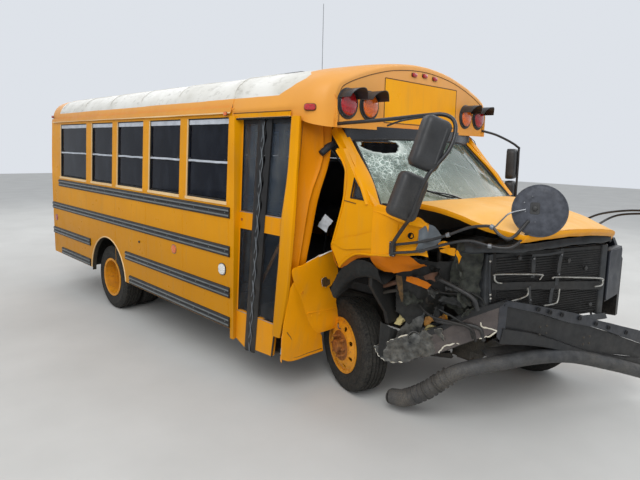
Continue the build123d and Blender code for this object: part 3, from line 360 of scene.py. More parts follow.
def make_shattered():
    """Laminated windshield: green tint, holed and crazed at the upper right, dusty along its foot."""
    look = Look("shattered_laminated_glass", 0.1, spec=0.35)
    x = look.axis(0)
    z = look.axis(2)
    hole_x, _, hole_z = mm(-560, 0, 1925)
    wobble = look.times(look.noise(120, 4), 0.5)
    near = look.span(look.plus(x, wobble), -0.35, 0.35, 1.0, 0.0)
    high = look.span(z, 1.62, 1.86)
    cloud = look.span(look.noise(110, 5), 0.38, 0.6)
    fine = look.span(look.cells(36), 0.01, 0.07, 1.0, 0.0)
    coarse = look.span(look.cells(95, stretch=(1, 0.7, 1)), 0.003, 0.022, 1.0, 0.0)
    long = look.span(look.cells(330, stretch=(1, 0.5, 0.8)), 0.0, 0.005, 1.0, 0.0)
    patch = look.times(near, look.times(look.plus(high, 0.25, True), cloud))
    crazing = look.times(look.most(fine, coarse), patch)
    crack = look.most(crazing, look.times(long, 0.5))
    wide = look.math("DIVIDE", look.math("SUBTRACT", x, hole_x), 0.19)
    tall = look.math("DIVIDE", look.math("SUBTRACT", z, hole_z), 0.055)
    reach = look.plus(look.times(wide, wide), look.times(tall, tall))
    edge = look.plus(reach, look.times(look.noise(45, 4), 1.1))
    hole = look.span(edge, 1.42, 1.5)
    rim = look.times(look.span(edge, 1.42, 2.6, 1.0, 0.0), hole)
    low = look.times(look.span(z, 1.5, 1.76, 1.0, 0.0), look.span(look.noise(90, 4), 0.25, 0.7, 0.5, 1.0))
    white = look.most(crack, look.times(rim, 0.7))
    base = look.mix(patch, "5F7368", "8A9F94")
    base = look.mix(look.times(low, 0.75), base, "A8A78E")
    look.color(look.mix(white, base, "DDE6E0"))
    look.rough(look.plus(look.times(white, 0.4), 0.08, True))
    film = look.plus(look.times(patch, 0.2), look.times(low, 0.35))
    solid = look.plus(look.times(white, 0.6), look.plus(film, 0.44), True)
    look.link(look.times(solid, hole), look.shader.inputs["Alpha"])
    look.bump(crack, 1.0, 0.5)
    return look.mat


SHATTERED = make_shattered()


def make_tyre():
    """Tyre rubber, brown with gravel dust on the tread and scuffed on the sidewall."""
    look = Look("dusty_tyre_rubber", 0.85, 0.0, 0.0, 0.3)
    color = look.tone(60, "1B1B1B", "2C2A27")
    color = look.mix(look.span(look.noise(14, 4), 0.42, 0.72, 0.0, 0.5), color, "4C483F")
    look.color(color)
    look.bump(look.noise(3, 3), 0.25, 0.5)
    return look.mat


TYRE = make_tyre()


def make_wheel_paint():
    """Yellow wheel enamel, rust-stained, with brake dust in the bowl."""
    look = Look("wheel_yellow_enamel", 0.5, 0.0, 0.1)
    color = look.tone(120, "DE960F", "C17E12", 4)
    rust = look.span(look.noise(38, 6, 0.7), 0.55, 0.7, 0.0, 0.8)
    color = look.mix(rust, color, "7A4218")
    color = look.mix(look.span(look.noise(16, 4), 0.55, 0.8, 0.0, 0.6), color, "6B5B43")
    look.color(color)
    look.rough(look.span(look.noise(30, 4), 0.3, 0.7, 0.4, 0.75))
    look.bump(look.noise(6, 4), 0.3, 0.5)
    return look.mat


WHEEL = make_wheel_paint()


def make_lens(name, base, deep):
    """Moulded lamp lens with fine optics ribs behind a glossy face."""
    look = Look(name, 0.16, 0.0, 0.6)
    ribs = look.span(look.cells(7, "F1"), 0.1, 0.6)
    look.color(look.mix(ribs, deep, base))
    look.bump(ribs, 0.5, 0.4)
    return look.mat


RED_LENS = make_lens("red_lamp_lens", "B3121A", "5A0508")
AMBER_LENS = make_lens("amber_lamp_lens", "E46A0C", "8C3503")
CLEAR_LENS = make_lens("clear_lamp_lens", "E8E6DE", "8F8D88")


def make_vinyl():
    """Bench vinyl with a pebbled grain and creases."""
    look = Look("bench_vinyl", 0.5)
    look.color(look.tone(150, "23262E", "33363F"))
    look.rough(look.span(look.noise(40, 4), 0.3, 0.7, 0.4, 0.62))
    look.bump(look.noise(2.2, 3), 0.15, 0.6)
    look.bump(look.noise(90, 3), 3.0, 0.3)
    return look.mat


VINYL = make_vinyl()


def make_torn():
    """Yellow gelcoat over fibreglass: bare white mat shows where the edge is torn."""
    look = Look("torn_fibreglass", 0.42, 0.0, 0.1)
    color = look.tone(300, "E5960D", "D4860F", 4)
    scrape = look.span(look.noise(24, 5, 0.65, (1, 0.7, 1)), 0.69, 0.73, 0.0, 0.85)
    color = look.mix(scrape, color, "E3DFD2")
    color, _ = look.dust(color, top=0.9, amount=0.7)
    look.color(color)
    look.bump(look.noise(150, 4), 5.0, 0.4)
    look.bump(look.noise(4, 4), 0.3, 0.4)
    return look.mat


TORN = make_torn()
# Bare glass mat along torn edges
FIBRE = plain("bare_glass_mat", "E6E2D6", "BDB49C", 0.9, grain_mm=2.0, grain_depth=0.8, dust_amount=0.3)
# Bumper and air dam: black coating scraped down to grey
SCRAPED = plain("scraped_black_coating", "0A0C0F", "15171B", 0.5, grain_mm=4, grain_depth=0.12,
                dust_top=1.3, dust_amount=0.16, size_mm=120)
SCUFFED = plain("scuffed_grey_plastic", "26282B", "3C3E41", 0.62, grain_mm=2, grain_depth=0.3,
                dust_top=0.9, dust_amount=0.5, size_mm=60)


def make_sign():
    """Red reflective sheet with a white border ring, no lettering."""
    look = Look("red_reflective_sheet", 0.35, 0.0, 0.3)
    look.color(look.tone(80, "B0121C", "98101A", 3))
    look.bump(look.cells(3, "F1"), 0.1, 0.4)
    return look.mat


SIGN = make_sign()

# Plated lug nuts and rusted hub
NUT = plain("zinc_lug_nuts", "A7A49C", "6E6658", 0.4, 0.8, size_mm=30, dust_amount=0.4)
RUSTY = plain("rusted_hub_iron", "A4651C", "6B3A16", 0.8, 0.2, grain_mm=4, grain_depth=0.5, size_mm=26,
              dust_amount=0.3)
# Gloss black bezels, satin tube enamel and the sun-bleached lamp hoods
HOOD_BLACK = plain("gloss_black_paint", "0C0C0E", "17181A", 0.2, size_mm=90, grain_depth=0.02,
                   dust_top=2.4, dust_amount=0.15, coat=0.4)
TUBE_BLACK = plain("mirror_tube_enamel", "141518", "26272A", 0.36, size_mm=60, grain_depth=0.05,
                   dust_top=2.4, dust_amount=0.25)
VISOR = plain("bleached_hood_black", "1E1F22", "34363A", 0.42, size_mm=110, grain_depth=0.05, dust_top=3.4,
              dust_amount=0.3)
# Dark band over the windshield, and paint darkened as painted shadow in grooves, seams and outlines
VISOR_GLASS = plain("dark_glossy_panel", "0E1117", "171B22", 0.25, size_mm=300, grain_depth=0.02,
                    dust_top=2.6, dust_amount=0.2)
GROOVE = plain("groove_painted_shadow", "6B4306", "4A2F08", 0.7, size_mm=60, dust_top=3.0, dust_amount=0.3)
# Crash damage: radiator fins, bent steel, plated rods, torn liner, scraped plate, plastic shards, and black
# as painted shade in open holes and gaps
FIN_BLACK = plain("radiator_fin_black", "121314", "222120", 0.6, size_mm=90, grain_mm=4, dust_top=2.0,
                  dust_amount=0.35, dusty="5E564A")
BENT_GREY = plain("bent_grey_steel", "24282C", "3A3E42", 0.5, 0.3, size_mm=80, dust_top=2.0,
                  dust_amount=0.35)
ROD = plain("plated_rod", "B9B8B2", "8D8A82", 0.35, 0.7, size_mm=50, dust_top=1.6, dust_amount=0.3)
LINER = plain("torn_black_liner", "0E0F10", "1E1F1D", 0.6, size_mm=70, grain_mm=3, grain_depth=0.4,
              dust_top=1.8, dust_amount=0.25, dusty="5F574A")
SCRAPED_GREY = plain("scraped_grey_steel", "24272A", "626360", 0.5, 0.35, size_mm=38, grain_mm=5,
                     grain_depth=0.5, dust_top=1.2, dust_amount=0.6)
PALE_SHARD = plain("pale_plastic_shards", "CDBE86", "A38F55", 0.6, size_mm=40, dust_top=1.2,
                   dust_amount=0.4)
HOLE_BLACK = plain("hole_painted_shade_black", "060606", "0C0C0C", 0.9, dust_amount=0.0)
# Side details: sill and drip strips, pale partly from the sun and partly as a painted highlight on their lit
# tops, rail crowns with a painted highlight, door enamel and grey broken trim
SILL_PAINT = painted("sun_paled_and_highlit_strips", "EBCB98", "DDB680", dust_top=2.6, dust_amount=0.25, rough=0.4)
# Light grey for the rail crowns and rail rivets: a painted highlight
RAIL_HIGHLIGHT = plain("rail_crown_painted_highlight", "565B5E", "6E7270", 0.35, size_mm=140, grain_depth=0.02,
                   dust_top=1.5, dust_amount=0.2)
PALE_SASH = plain("pale_sash_rails", "C6CBD2", "A6ABB3", 0.45, 0.2, size_mm=90, grain_depth=0.05,
                  dust_top=2.6, dust_amount=0.15)
# Light grey on the door seal's ridges: a painted highlight
SEAL_HIGHLIGHT = plain("seal_ridge_painted_highlight", "6E7479", "4A4F54", 0.5, size_mm=30, dust_top=2.4, dust_amount=0.2)
PAPER = plain("dangling_pale_scrap", "C9CDD0", "A4A8AC", 0.7, size_mm=40, dust_amount=0.2)
DOOR_PAINT = painted("entry_door_enamel", "E09404", "D08602", dust_top=0.9, dust_amount=0.4, rough=0.3)
# The fairing's gelcoat is lightened as a painted highlight, offsetting the shade on its face
FAIRING_PAINT = painted("fairing_gelcoat_painted_highlight", "F6A208", "EA9806", dust_top=0.9, dust_amount=0.2, rough=0.4)
CLEAR_GREY = plain("broken_grey_trim", "9BA3A6", "6F777B", 0.5, size_mm=50, dust_top=2.4, dust_amount=0.3)
# Bent bumper's worn band, its scraped brown-grey face and rubble in the engine bay
BAND = plain("worn_beam_band", "1D2026", "2F3239", 0.45, size_mm=60, grain_mm=4, grain_depth=0.12,
             dust_top=1.3, dust_amount=0.2)
NOSE_BLACK = plain("blue_black_nose_panel", "171B24", "1F2530", 0.5, size_mm=300)
ARCH_BLACK = plain("wheel_arch_underseal", "070807", "11120F", 0.8, size_mm=60, grain_mm=5, grain_depth=0.4)
OCHRE = plain("splintered_ochre_laminate", "5E4218", "33260F", 0.7, size_mm=30, grain_mm=4, grain_depth=0.4)
SCRAPED_FACE = plain("scraped_beam_face", "3E3838", "544C4A", 0.5, 0.1, size_mm=120, grain_mm=5,
                     grain_depth=0.3, dust_top=1.3, dust_amount=0.3)
OLIVE_GREY = plain("crushed_duct_rubble", "0E1110", "43463D", 0.7, size_mm=46, grain_mm=6, grain_depth=0.7,
                   dust_top=1.6, dust_amount=0.12)
AMBER_SHARD = plain("split_amber_board", "B07A30", "7E5420", 0.7, size_mm=40, dust_top=1.2, dust_amount=0.3)
FENDER_PAINT = painted("torn_fender_gelcoat", "E5980A", "D88C04", dust_top=0.9, dust_amount=0.3, rough=0.36)
# Rear plate left blank, sign enamels, seat piping, exhaust steel and vent slots
PLATE_BLANK = plain("blank_plate_enamel", "D9DAD6", "C2C3BF", 0.4, size_mm=60, dust_top=1.4,
                    dust_amount=0.4)
SIGN_FACE = plain("stop_sign_red_enamel", "A80E16", "8E0C14", 0.35, size_mm=120, grain_depth=0.02,
                  dust_top=1.5, dust_amount=0.3)
SIGN_WHITE = plain("stop_sign_white_border", "E6E6E2", "CFCFCB", 0.4, size_mm=60, grain_depth=0.02,
                   dust_top=1.5, dust_amount=0.25)
PIPING = plain("seat_piping_vinyl", "17191D", "22252A", 0.45, size_mm=30, dust_top=2.2, dust_amount=0.2)
RUSTED_PIPE = plain("heat_rusted_pipe", "6E4A34", "4A3A32", 0.75, 0.3, size_mm=60, grain_depth=0.5,
                    dust_amount=0.5)
GROOVE_BLACK = plain("vent_slot_black", "0B0B0C", "141415", 0.8, size_mm=40, dust_amount=0.1)
# The right bulkhead's enamel, darker and more orange as painted shade
SHADED_BULKHEAD = painted("bulkhead_enamel_painted_shade", "D88404", "C67602", dust_top=0.8, dust_amount=0.2)
# The hood's upper face, with pale patches as a painted highlight
HOOD_TOP = painted("hood_top_painted_highlight", "EBA83A", "DF9C28", dust_top=0.6, rough=0.5, streaks=0.1,
                   crown="EFCB93")
# Round mirror's back: grey-blue moulded plastic with dried dirt
DISC_BACK = plain("round_mirror_back", "272A32", "464951", 0.6, size_mm=34, grain_mm=3, grain_depth=0.2)
# Hood enamel on its rolled edges, without the top's painted highlight
HOOD_PAINT = painted("hood_edge_enamel", "EBA01A", "DF940E", dust_top=0.6, rough=0.36, streaks=0.1)
# Brighter panel of the cap's blank sign, dark orange paint as painted shade on torn flanges and lips, lamp
# socket plastic and the handrail
SIGN_PANEL = painted("bright_sign_panel", "F0A806", "E69C04", dust_top=0.4, rough=0.32, streaks=0.12)
SHADED_ORANGE = painted("orange_paint_painted_shade", "C66C02", "985104", dust_top=2.2, dust_amount=0.2, rough=0.5)
GREY_BLUE = plain("faded_blue_grey_plastic", "5C656C", "474D52", 0.6, size_mm=70, dust_top=2.0,
                  dust_amount=0.5)
BRASS_BAR = plain("stair_handrail", "6B4A1C", "4E3614", 0.45, 0.4, size_mm=60)
# Silvered mirror face
MIRROR = plain("mirror_face", "C9CDD0", "B4B9BD", 0.14, 1.0, size_mm=200, grain_depth=0.0, dust_amount=0.2)


CAD_LOOKS = (
    (YELLOW, "side_panel_right side_panel_left window_wall_right window_wall_left rear_wall"),
    (YELLOW, "entry_door_leaves cab_frame cab_side_right hood fender_right driver_door rear_door"),
    (CHASSIS, "chassis_frame stepwell radiator_pack rear_axle fuel_tank"), (FLOOR, "body_floor"),
    (SASH, "window_sashes"), (GLASS, "side_glass rear_glass driver_door_glass rear_door_glass"),
    (RAIL, "rub_rails"), (ROOF, "roof_shell front_cap roof_hatch"), (DOOR_GLASS, "entry_door_glass"),
    (CAP_YELLOW, "bulkhead_right bulkhead_left"), (RUBBER, "entry_door_seals"), (TORN, "step_fairing"),
    (DASH, "cowl_and_dash"), (SHATTERED, "windshield"), (LEFT_FENDER, "fender_left"),
    (IRON, "engine_block front_suspension"), (SCRAPED, "front_bumper_beam rear_bumper"),
    (SCUFFED, "bumper_valance"), (VINYL, "driver_seat passenger_seats"),
    (PLASTIC, "mirrors_right mirrors_left lamp_hoods"), (RED_LENS, "warning_lamps small_lamps"),
    (STEEL, "antenna"), (TYRE, "tyres_rear_right tyres_rear_left tyre_front_left tyre_front_right"),
    (WHEEL, "rims_rear_right rims_rear_left rim_front_left rim_front_right"), (SIGN, "stop_arm"),
)
for cad_look, cad_names in CAD_LOOKS:
    for cad_name in cad_names.split():
        slots = NODES[cad_name].data.materials
        slots.clear()
        slots.append(cad_look)


# Mesh pieces: each is gathered from closed shells given in drawing millimetres
def flow(points, steps):
    """Points of a smooth curve through the given ones."""
    path = [Vector(p) for p in points]
    if steps < 2 or len(path) < 3:
        return path
    path = [path[0] * 2 - path[1]] + path + [path[-1] * 2 - path[-2]]
    curve = []
    for a, b, c, d in zip(path, path[1:], path[2:], path[3:]):
        for k in range(steps):
            t = k / steps
            rest = (a * 2 - b * 5 + c * 4 - d) * t * t + (b * 3 - a - c * 3 + d) * t ** 3
            curve.append(b + ((c - a) * t + rest) / 2)
    return curve + [path[-2]]


# One fixed set of noise offsets, so that every run bends and tears the sheets alike
noise.seed_set(7)


def wander(point, size, seed=0.0):
    """Smooth random vector that changes over about the given distance."""
    return noise.noise_vector(Vector(point) / size + Vector((seed, seed * 0.7, 0)))


def aim(at, along):
    """Placement whose local Z points along a direction, with local Y as near to up as it can be."""
    w = Vector(along).normalized()
    u = Vector((0, 0, 1)).cross(w)
    u = u.normalized() if u.length > 0.01 else Vector((1, 0, 0))
    return Matrix.Translation(at) @ Matrix((u, w.cross(u), w)).transposed().to_4x4()


def polar(radius, turn, height=0.0):
    """Point at an angle about local Z."""
    return Vector((radius * math.cos(turn), radius * math.sin(turn), height))


def shifted(row, dx, dy, dz):
    """Row of points moved by one step."""
    return [(x + dx, y + dy, z + dz) for x, y, z in row]


def outboard(side, x, y, z):
    """Placement on a side of the bus: local X runs rearward, Y up and Z outward."""
    return Matrix.Translation((x, y, z)) @ Matrix(((0, 0, side), (1, 0, 0), (0, 1, 0))).to_4x4()


def rounded(corners, radius, steps=4):
    """Outline with its corners rounded."""
    outline = []
    for k, corner in enumerate(corners):
        here = Vector(corner)
        start = here + (Vector(corners[k - 1]) - here).normalized() * radius
        end = here + (Vector(corners[(k + 1) % len(corners)]) - here).normalized() * radius
        for i in range(steps + 1):
            t = i / steps
            outline.append(start * (1 - t) ** 2 + here * 2 * t * (1 - t) + end * t * t)
    return outline


def box_outline(width, height, radius, steps=4):
    w, h = width / 2, height / 2
    return rounded([(-w, -h), (w, -h), (w, h), (-w, h)], radius, steps)


def circle(radius, steps):
    return [polar(radius, 2 * math.pi * k / steps).xy for k in range(steps)]


def inset(outline, distance):
    """Outline moved inward along its own normals."""
    outline = [Vector(p) for p in outline]
    small = []
    area = sum(a.x * b.y - b.x * a.y for a, b in zip(outline, outline[1:] + outline[:1]))
    for before, here, after in zip(outline[-1:] + outline[:-1], outline, outline[1:] + outline[:1]):
        along = (after - before).normalized()
        small.append(here + Vector((-along.y, along.x)) * distance * (1 if area > 0 else -1))
    return small


class Form:
    """One piece gathered from shells, with the look of each face."""

    def __init__(self, name, body, *replaced):
        self.name = name
        self.body = body
        self.replaced = replaced
        self.points = []
        self.faces = []
        self.looks = []
        self.slots = []

    def slot_of(self, look):
        if look not in self.looks:
            self.looks.append(look)
        return self.looks.index(look)

    def add(self, points, faces, look):
        first = len(self.points)
        self.points += [mm(*p) for p in points]
        self.faces += [[first + i for i in face] for face in faces]
        self.slots += [self.slot_of(look)] * len(faces)

    def loft(self, rings, look, closed=False):
        """Skin between rings of equal length, capped unless it closes on itself."""
        n = len(rings[0])
        rows = len(rings)
        faces = []
        for r in range(rows if closed else rows - 1):
            here, there = r * n, (r + 1) % rows * n
            faces += [(here + i, here + (i + 1) % n, there + (i + 1) % n, there + i) for i in range(n)]
        if not closed:
            faces += [tuple(reversed(range(n))), tuple(range((rows - 1) * n, rows * n))]
        self.add([p for ring in rings for p in ring], faces, look)

    def tube(self, points, radius, look, sides=10, smooth=5):
        """Round bar of one radius, or of one radius at each given point, along a smooth path."""
        path = flow(points, smooth)
        steps = max(len(path) - 1, 1) / (len(points) - 1)
        side = None
        rings = []
        for k, here in enumerate(path):
            along = (path[min(k + 1, len(path) - 1)] - path[max(k - 1, 0)]).normalized()
            start = side if side is not None else Vector((0.31, 0.42, 0.85))
            side = (start - along * start.dot(along)).normalized()
            other = along.cross(side)
            reach = radius
            if isinstance(radius, (list, tuple)):
                low = min(int(k / steps), len(radius) - 2)
                reach = radius[low] + (radius[low + 1] - radius[low]) * (k / steps - low)
            turns = [2 * math.pi * i / sides for i in range(sides)]
            rings.append([here + (side * math.cos(t) + other * math.sin(t)) * reach for t in turns])
        self.loft(rings, look)

    def turned(self, profile, look, place, steps=32, closed=False):
        """Surface turned about the placement's local Z from rows of height and radius."""
        rings = []
        for height, radius in profile:
            rings.append([place @ Vector((*p, height)) for p in circle(max(radius, 0.05), steps)])
        self.loft(rings, look, closed)

    def slab(self, outline, low, high, look, place, bevel=1.5):
        """Plate between two heights over an outline, with small chamfers."""
        small = inset(outline, bevel)
        rows = [(low, small), (low + bevel, outline), (high - bevel, outline), (high, small)]
        self.loft([[place @ Vector((*p, height)) for p in ring] for height, ring in rows], look)

    def block(self, low, high, look, bevel=3, place=None):
        """Chamfered box between two corners."""
        place = place or Matrix.Identity(4)
        centre = Vector([(a + b) / 2 for a, b in zip(low, high)])
        outline = [(low[0], low[1]), (high[0], low[1]), (high[0], high[1]), (low[0], high[1])]
        flat = rounded([Vector(p) - centre.xy for p in outline], bevel, 2)
        self.slab(flat, low[2] - centre.z, high[2] - centre.z, look,
                  place @ Matrix.Translation(centre), bevel)

    def frame(self, outline, width, low, high, look, place):
        """Ring plate along an outline, reaching inward by its width."""
        bevel = 1.0
        outer = inset(outline, bevel)
        near = inset(outline, width - bevel)
        far = inset(outline, width)
        rows = [(low, outline), (high - bevel, outline), (high, outer), (high, near),
                (high - bevel, far), (low, far)]
        self.loft([[place @ Vector((*p, height)) for p in ring] for height, ring in rows], look, True)

    def bolts(self, places, radius, height, look, sides=6):
        """Domed fasteners; each place is a point and the direction that it faces."""
        for at, along in places:
            profile = [(0, radius), (height * 0.6, radius), (height, radius * 0.62)]
            self.turned(profile, look, aim(at, along), sides)

    def sheet(self, grid, look, thick=3, edge=None, refine=6, crumple=(), rag=0.0, seed=0.0, whole=()):
        """Thin panel through a grid of points, refined smooth, then crumpled by (size, depth) pairs.

        Its border is ragged and shows the edge's look, but not on the sides named whole."""
        rows = [flow(row, refine) for row in grid]
        columns = [flow(column, refine) for column in zip(*rows)]
        across, along = len(columns), len(columns[0])
        skin = {}
        for i in range(across):
            for j in range(along):
                here = columns[i][j]
                u = columns[min(i + 1, across - 1)][j] - columns[max(i - 1, 0)][j]
                v = columns[i][min(j + 1, along - 1)] - columns[i][max(j - 1, 0)]
                normal = u.cross(v).normalized()
                shift = sum(noise.noise(here / size + Vector((seed, 0, 0))) * depth for size,
                            depth in crumple)
                skin[i, j] = (here, normal, shift)
        points = []
        for back in (0, thick):
            for j in range(along):
                for i in range(across):
                    here, normal, shift = skin[i, j]
                    ragged = Vector((0, 0, 0))
                    sides = {"start": i == 0, "end": i == across - 1, "first": j == 0,
                             "last": j == along - 1}
                    if rag and any(hit and side not in whole for side, hit in sides.items()):
                        ragged = wander(here, 26, seed) * rag
                    points.append(here + normal * (shift - back) + ragged)
        size = across * along
        faces = []
        rim = []
        for j in range(along - 1):
            for i in range(across - 1):
                a = j * across + i
                faces.append((a, a + 1, a + across + 1, a + across))
                faces.append((size + a, size + a + across, size + a + across + 1, size + a + 1))
        border = list(range(across)) + [j * across + across - 1 for j in range(1, along)]
        border += [(along - 1) * across + i for i in reversed(range(across - 1))]
        border += [j * across for j in reversed(range(1, along - 1))]
        for a, b in zip(border, border[1:] + border[:1]):
            rim.append((b, a, size + a, size + b))
        self.add(points, faces + rim, look)
        if edge:
            lengths = (("first", across - 1), ("end", along - 1), ("last", across - 1),
                       ("start", along - 1))
            at = len(self.slots) - len(rim)
            for side, count in lengths:
                if side not in whole:
                    self.slots[at:at + count] = [self.slot_of(edge)] * count
                at += count

    def strips(self, rails, looks, thick, refine, crumple, seed):
        """Creased channel: one flat panel between each rail and the next."""
        for upper, lower, look in zip(rails, rails[1:], looks):
            self.sheet([upper, lower], look, thick, refine=refine, crumple=crumple, seed=seed)

    def finish(self, sharp=38):
        mesh = bpy.data.meshes.new(self.name)
        mesh.from_pydata(self.points, [], self.faces)
        for look in self.looks:
            mesh.materials.append(look)
        mesh.polygons.foreach_set("material_index", self.slots)
        work = bmesh.new()
        work.from_mesh(mesh)
        bmesh.ops.recalc_face_normals(work, faces=work.faces)
        work.to_mesh(mesh)
        work.free()
        mesh.polygons.foreach_set("use_smooth", [True] * len(mesh.polygons))
        mesh.set_sharp_from_angle(angle=math.radians(sharp))
        piece = bpy.data.objects.new(self.name, mesh)
        bpy.context.scene.collection.objects.link(piece)
        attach(piece, self.body)
        if self.replaced:
            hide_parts(*self.replaced)
        return piece


# Wheels: right ones face -X, the hit one is turned with its hub pushed back
TYRE_R = 366
HIT_TURN = math.radians(-19)
HIT_OUT = (-math.cos(HIT_TURN), -math.sin(HIT_TURN), 0)
WHEELS = (
    ("rear_right", "rear_right_wheels", (-1040, -130, TYRE_R), (-1, 0, 0), (0, -245)),
    ("rear_left", "rear_left_wheels", (1040, -130, TYRE_R), (1, 0, 0), (0, -245)),
    ("front_left", "front_left_wheel", (874, -4160, TYRE_R), (1, 0, 0), (0,)),
    ("front_right", "front_right_wheel", (-580, -3350, TYRE_R), HIT_OUT, (0,)),
)
SIDEWALL = ((97, 203), (99, 222), (104, 240), (106, 243), (107, 262), (108, 290), (109, 293), (108.5, 312),
            (105, 315), (102, 334), (93, 350), (86, 360))
TREAD = ((79, 363, 9), (56, 365, 6), (54, 365, 0), (51, 355, 0), (45, 355, 0), (42, 365.5, 0),
         (20, 366, 0), (17, 356, 0), (11, 356, 0), (8, 366, 0))
TYRE_STEPS = 144


def tyre(form, place, shift):
    """Tyre section turned once, its shoulder lugs notched and its ribs cut by grooves that zigzag."""
    rows = [(h, r, 0, 0) for h, r in SIDEWALL] + [(h, r, cut, 3) for h, r, cut in TREAD]
    rows += [(-h, r, cut, sway) for h, r, cut, sway in reversed(rows)]
    rings = []
    for height, radius, cut, sway in rows:
        ring = []
        for k in range(TYRE_STEPS):
            turn = 2 * math.pi * k / TYRE_STEPS
            reach = radius - (cut if k % 4 == 0 else 0)
            rise = height + shift + (sway if k % 4 in (0, 1) and abs(height) < 50 else 0)
            ring.append(place @ polar(reach, turn, rise))
        rings.append(ring)
    form.loft(rings, TYRE, True)


def make_tyres():
    for name, body, at, out, shifts in WHEELS:
        node = ("tyres_" if "rear" in name else "tyre_") + name
        form = Form(node + "_tread", body, node)
        for shift in shifts:
            tyre(form, aim(at, out), shift)
        form.finish(28)


def make_wheel_fittings():
    """Rim lips, stud nuts, hub caps, valves and balance weights on the CAD rims."""
    for name, body, at, out, shifts in WHEELS:
        rear = "rear" in name
        place = aim(at, out)
        form = Form("fittings_" + name, body)
        face = -112.5 if rear else 122.5
        for shift in shifts:
            for side in (-1, 1):
                lip = [(shift + side * (105 + 4 * math.cos(t)), 216 + 5 * math.sin(t))
                       for t in (0, 1.05, 2.1, 3.14, 4.2, 5.25)]
                form.turned(lip, WHEEL, place, 64, True)
        nut_circle = 104 if rear else 84
        nut_look = NUT if rear else RUSTY
        for k in range(8):
            seat = place @ Matrix.Translation(polar(nut_circle, math.radians(45 * k), face))
            form.turned([(-1, 20), (4, 20), (5, 17)], nut_look, seat, 16)
            form.turned([(4, 15), (20, 15), (24, 11), (25, 8)], nut_look, seat, 6)
            form.turned([(20, 8), (36, 8), (38, 6)], nut_look, seat, 10)
        if rear:
            form.turned([(-31, 60), (-26, 60), (-24, 56), (-24, 40), (-14, 36), (-11, 20), (-10, 4)],
                        IRON, place, 32)
            spots = [place @ polar(50, math.radians(45 * k + 22), -27) for k in range(8)]
            form.bolts([(spot, out) for spot in spots], 7, 8, IRON)
        else:
            form.turned([(120, 66), (128, 66), (132, 60), (132, 49), (166, 49), (172, 44), (175, 30),
                         (176, 6)], RUSTY, place, 36)
            form.turned([(120, 118), (123, 118), (125, 112), (125, 70), (121, 66)], RUSTY, place, 40)
        valve = ((132, -2), (146, 20), (178, 46 if rear else 23))
        form.tube([place @ Vector((0, reach, face + rise)) for reach, rise in valve], 4.5, STEEL, 8)
        weight = [place @ polar(211, turn, shifts[0] + 100) for turn in (1.9, 1.98, 2.06, 2.14)]
        form.tube(weight, 5, STEEL, 6)
        form.finish()


make_tyres()
make_wheel_fittings()


# Lamps
def lamp_face(form, x, y, z, side, look):
    """Round warning lamp with its black backplate, bezel and domed lens; side is -1 for the front."""
    place = aim((x, y, z), (0, side, 0))
    form.turned([(-1, 106), (5, 106), (8, 102), (8, 92), (16, 90), (18, 86), (18, 60)], PLASTIC, place, 48)
    dome = [(6, 85)] + [(12 + 24 * math.cos(t), 85 * math.sin(t))
                        for t in (1.57, 1.35, 1.1, 0.85, 0.6, 0.35, 0.12)]
    form.turned(dome, look, place, 48)
    form.bolts([(place @ polar(94, turn, 7), (0, side, 0)) for turn in (0.9, 2.2, 4.1, 5.3)], 4,
               3, STEEL, 8)


def visor(form, x, y, z, side, reach):
    """Arched hood over a lamp, its lower edges swept back."""
    place = aim((x, y, z), (0, side, 0))
    rows = []
    for share in (0, 0.06, 0.35, 0.7, 0.95, 1.0):
        row = []
        for k in range(13):
            turn = math.radians(20 + 140 * k / 12)
            back = 1 - 0.3 * abs(math.cos(turn)) ** 1.6
            row.append(place @ polar(99, turn, 1 + share * (reach - 2) * back))
        rows.append(row)
    form.sheet(rows, VISOR, 4, refine=2)


def make_warning_lamps():
    lamps = Form("warning_lamp_lenses", "bus", "warning_lamps")
    hoods = Form("lamp_visors", "bus", "lamp_hoods")
    for y, z, side, reach, centre, spread in ((CAP_Y, 2207, -1, 150, 793.5, 115.5),
                                              (REAR_Y, 2240, 1, 130, 735, 125)):
        for half in (-1, 1):
            for outer, look in ((1, RED_LENS), (-1, AMBER_LENS)):
                x = half * (centre + outer * spread)
                lamp_face(lamps, x, y, z, side, look)
                visor(hoods, x, y, z, side, reach)
    lamps.finish()
    hoods.finish()


# Small lamps as rows of the middle, the facing direction, half width, half height, depth and lens
SMALL = [(x, CAP_Y, z, (0, -1, 0), 29, 15, 18, RED_LENS) for x, z in ((-145, 2482), (0, 2490), (145, 2482))]
SMALL += [(x, REAR_Y, 2440, (0, 1, 0), 29, 15, 18, RED_LENS) for x in (-145, 0, 145)]
SMALL += [(-HALF_W, -2465, 903, (-1, 0, 0), 45, 45, 17, CLEAR_LENS)]
SMALL += [(side * HALF_W, y, z, (side, 0, 0), 38, 38, 8, look)
          for side in (-1, 1) for y, z, look in ((-1686, 947, AMBER_LENS), (1414, 900, RED_LENS))]


def oval_lamp(form, x, y, z, along, wide, high, depth, look):
    """Moulded lens with a rolled bezel."""
    place = aim((x, y, z), along)
    outline = box_outline(wide * 2, high * 2, min(wide, high) * 0.98, 5)
    rings = []
    for share, up in ((0.0, 0), (0.02, depth * 0.5), (0.08, depth * 0.85), (0.3, depth * 0.97),
                      (0.7, depth)):
        rings.append([place @ Vector((p.x * (1 - share), p.y * (1 - share), up)) for p in outline])
    form.loft(rings, look)
    form.frame([p * 1.12 for p in outline], 6, -1, depth * 0.4, HOOD_BLACK if depth > 10 else STEEL, place)


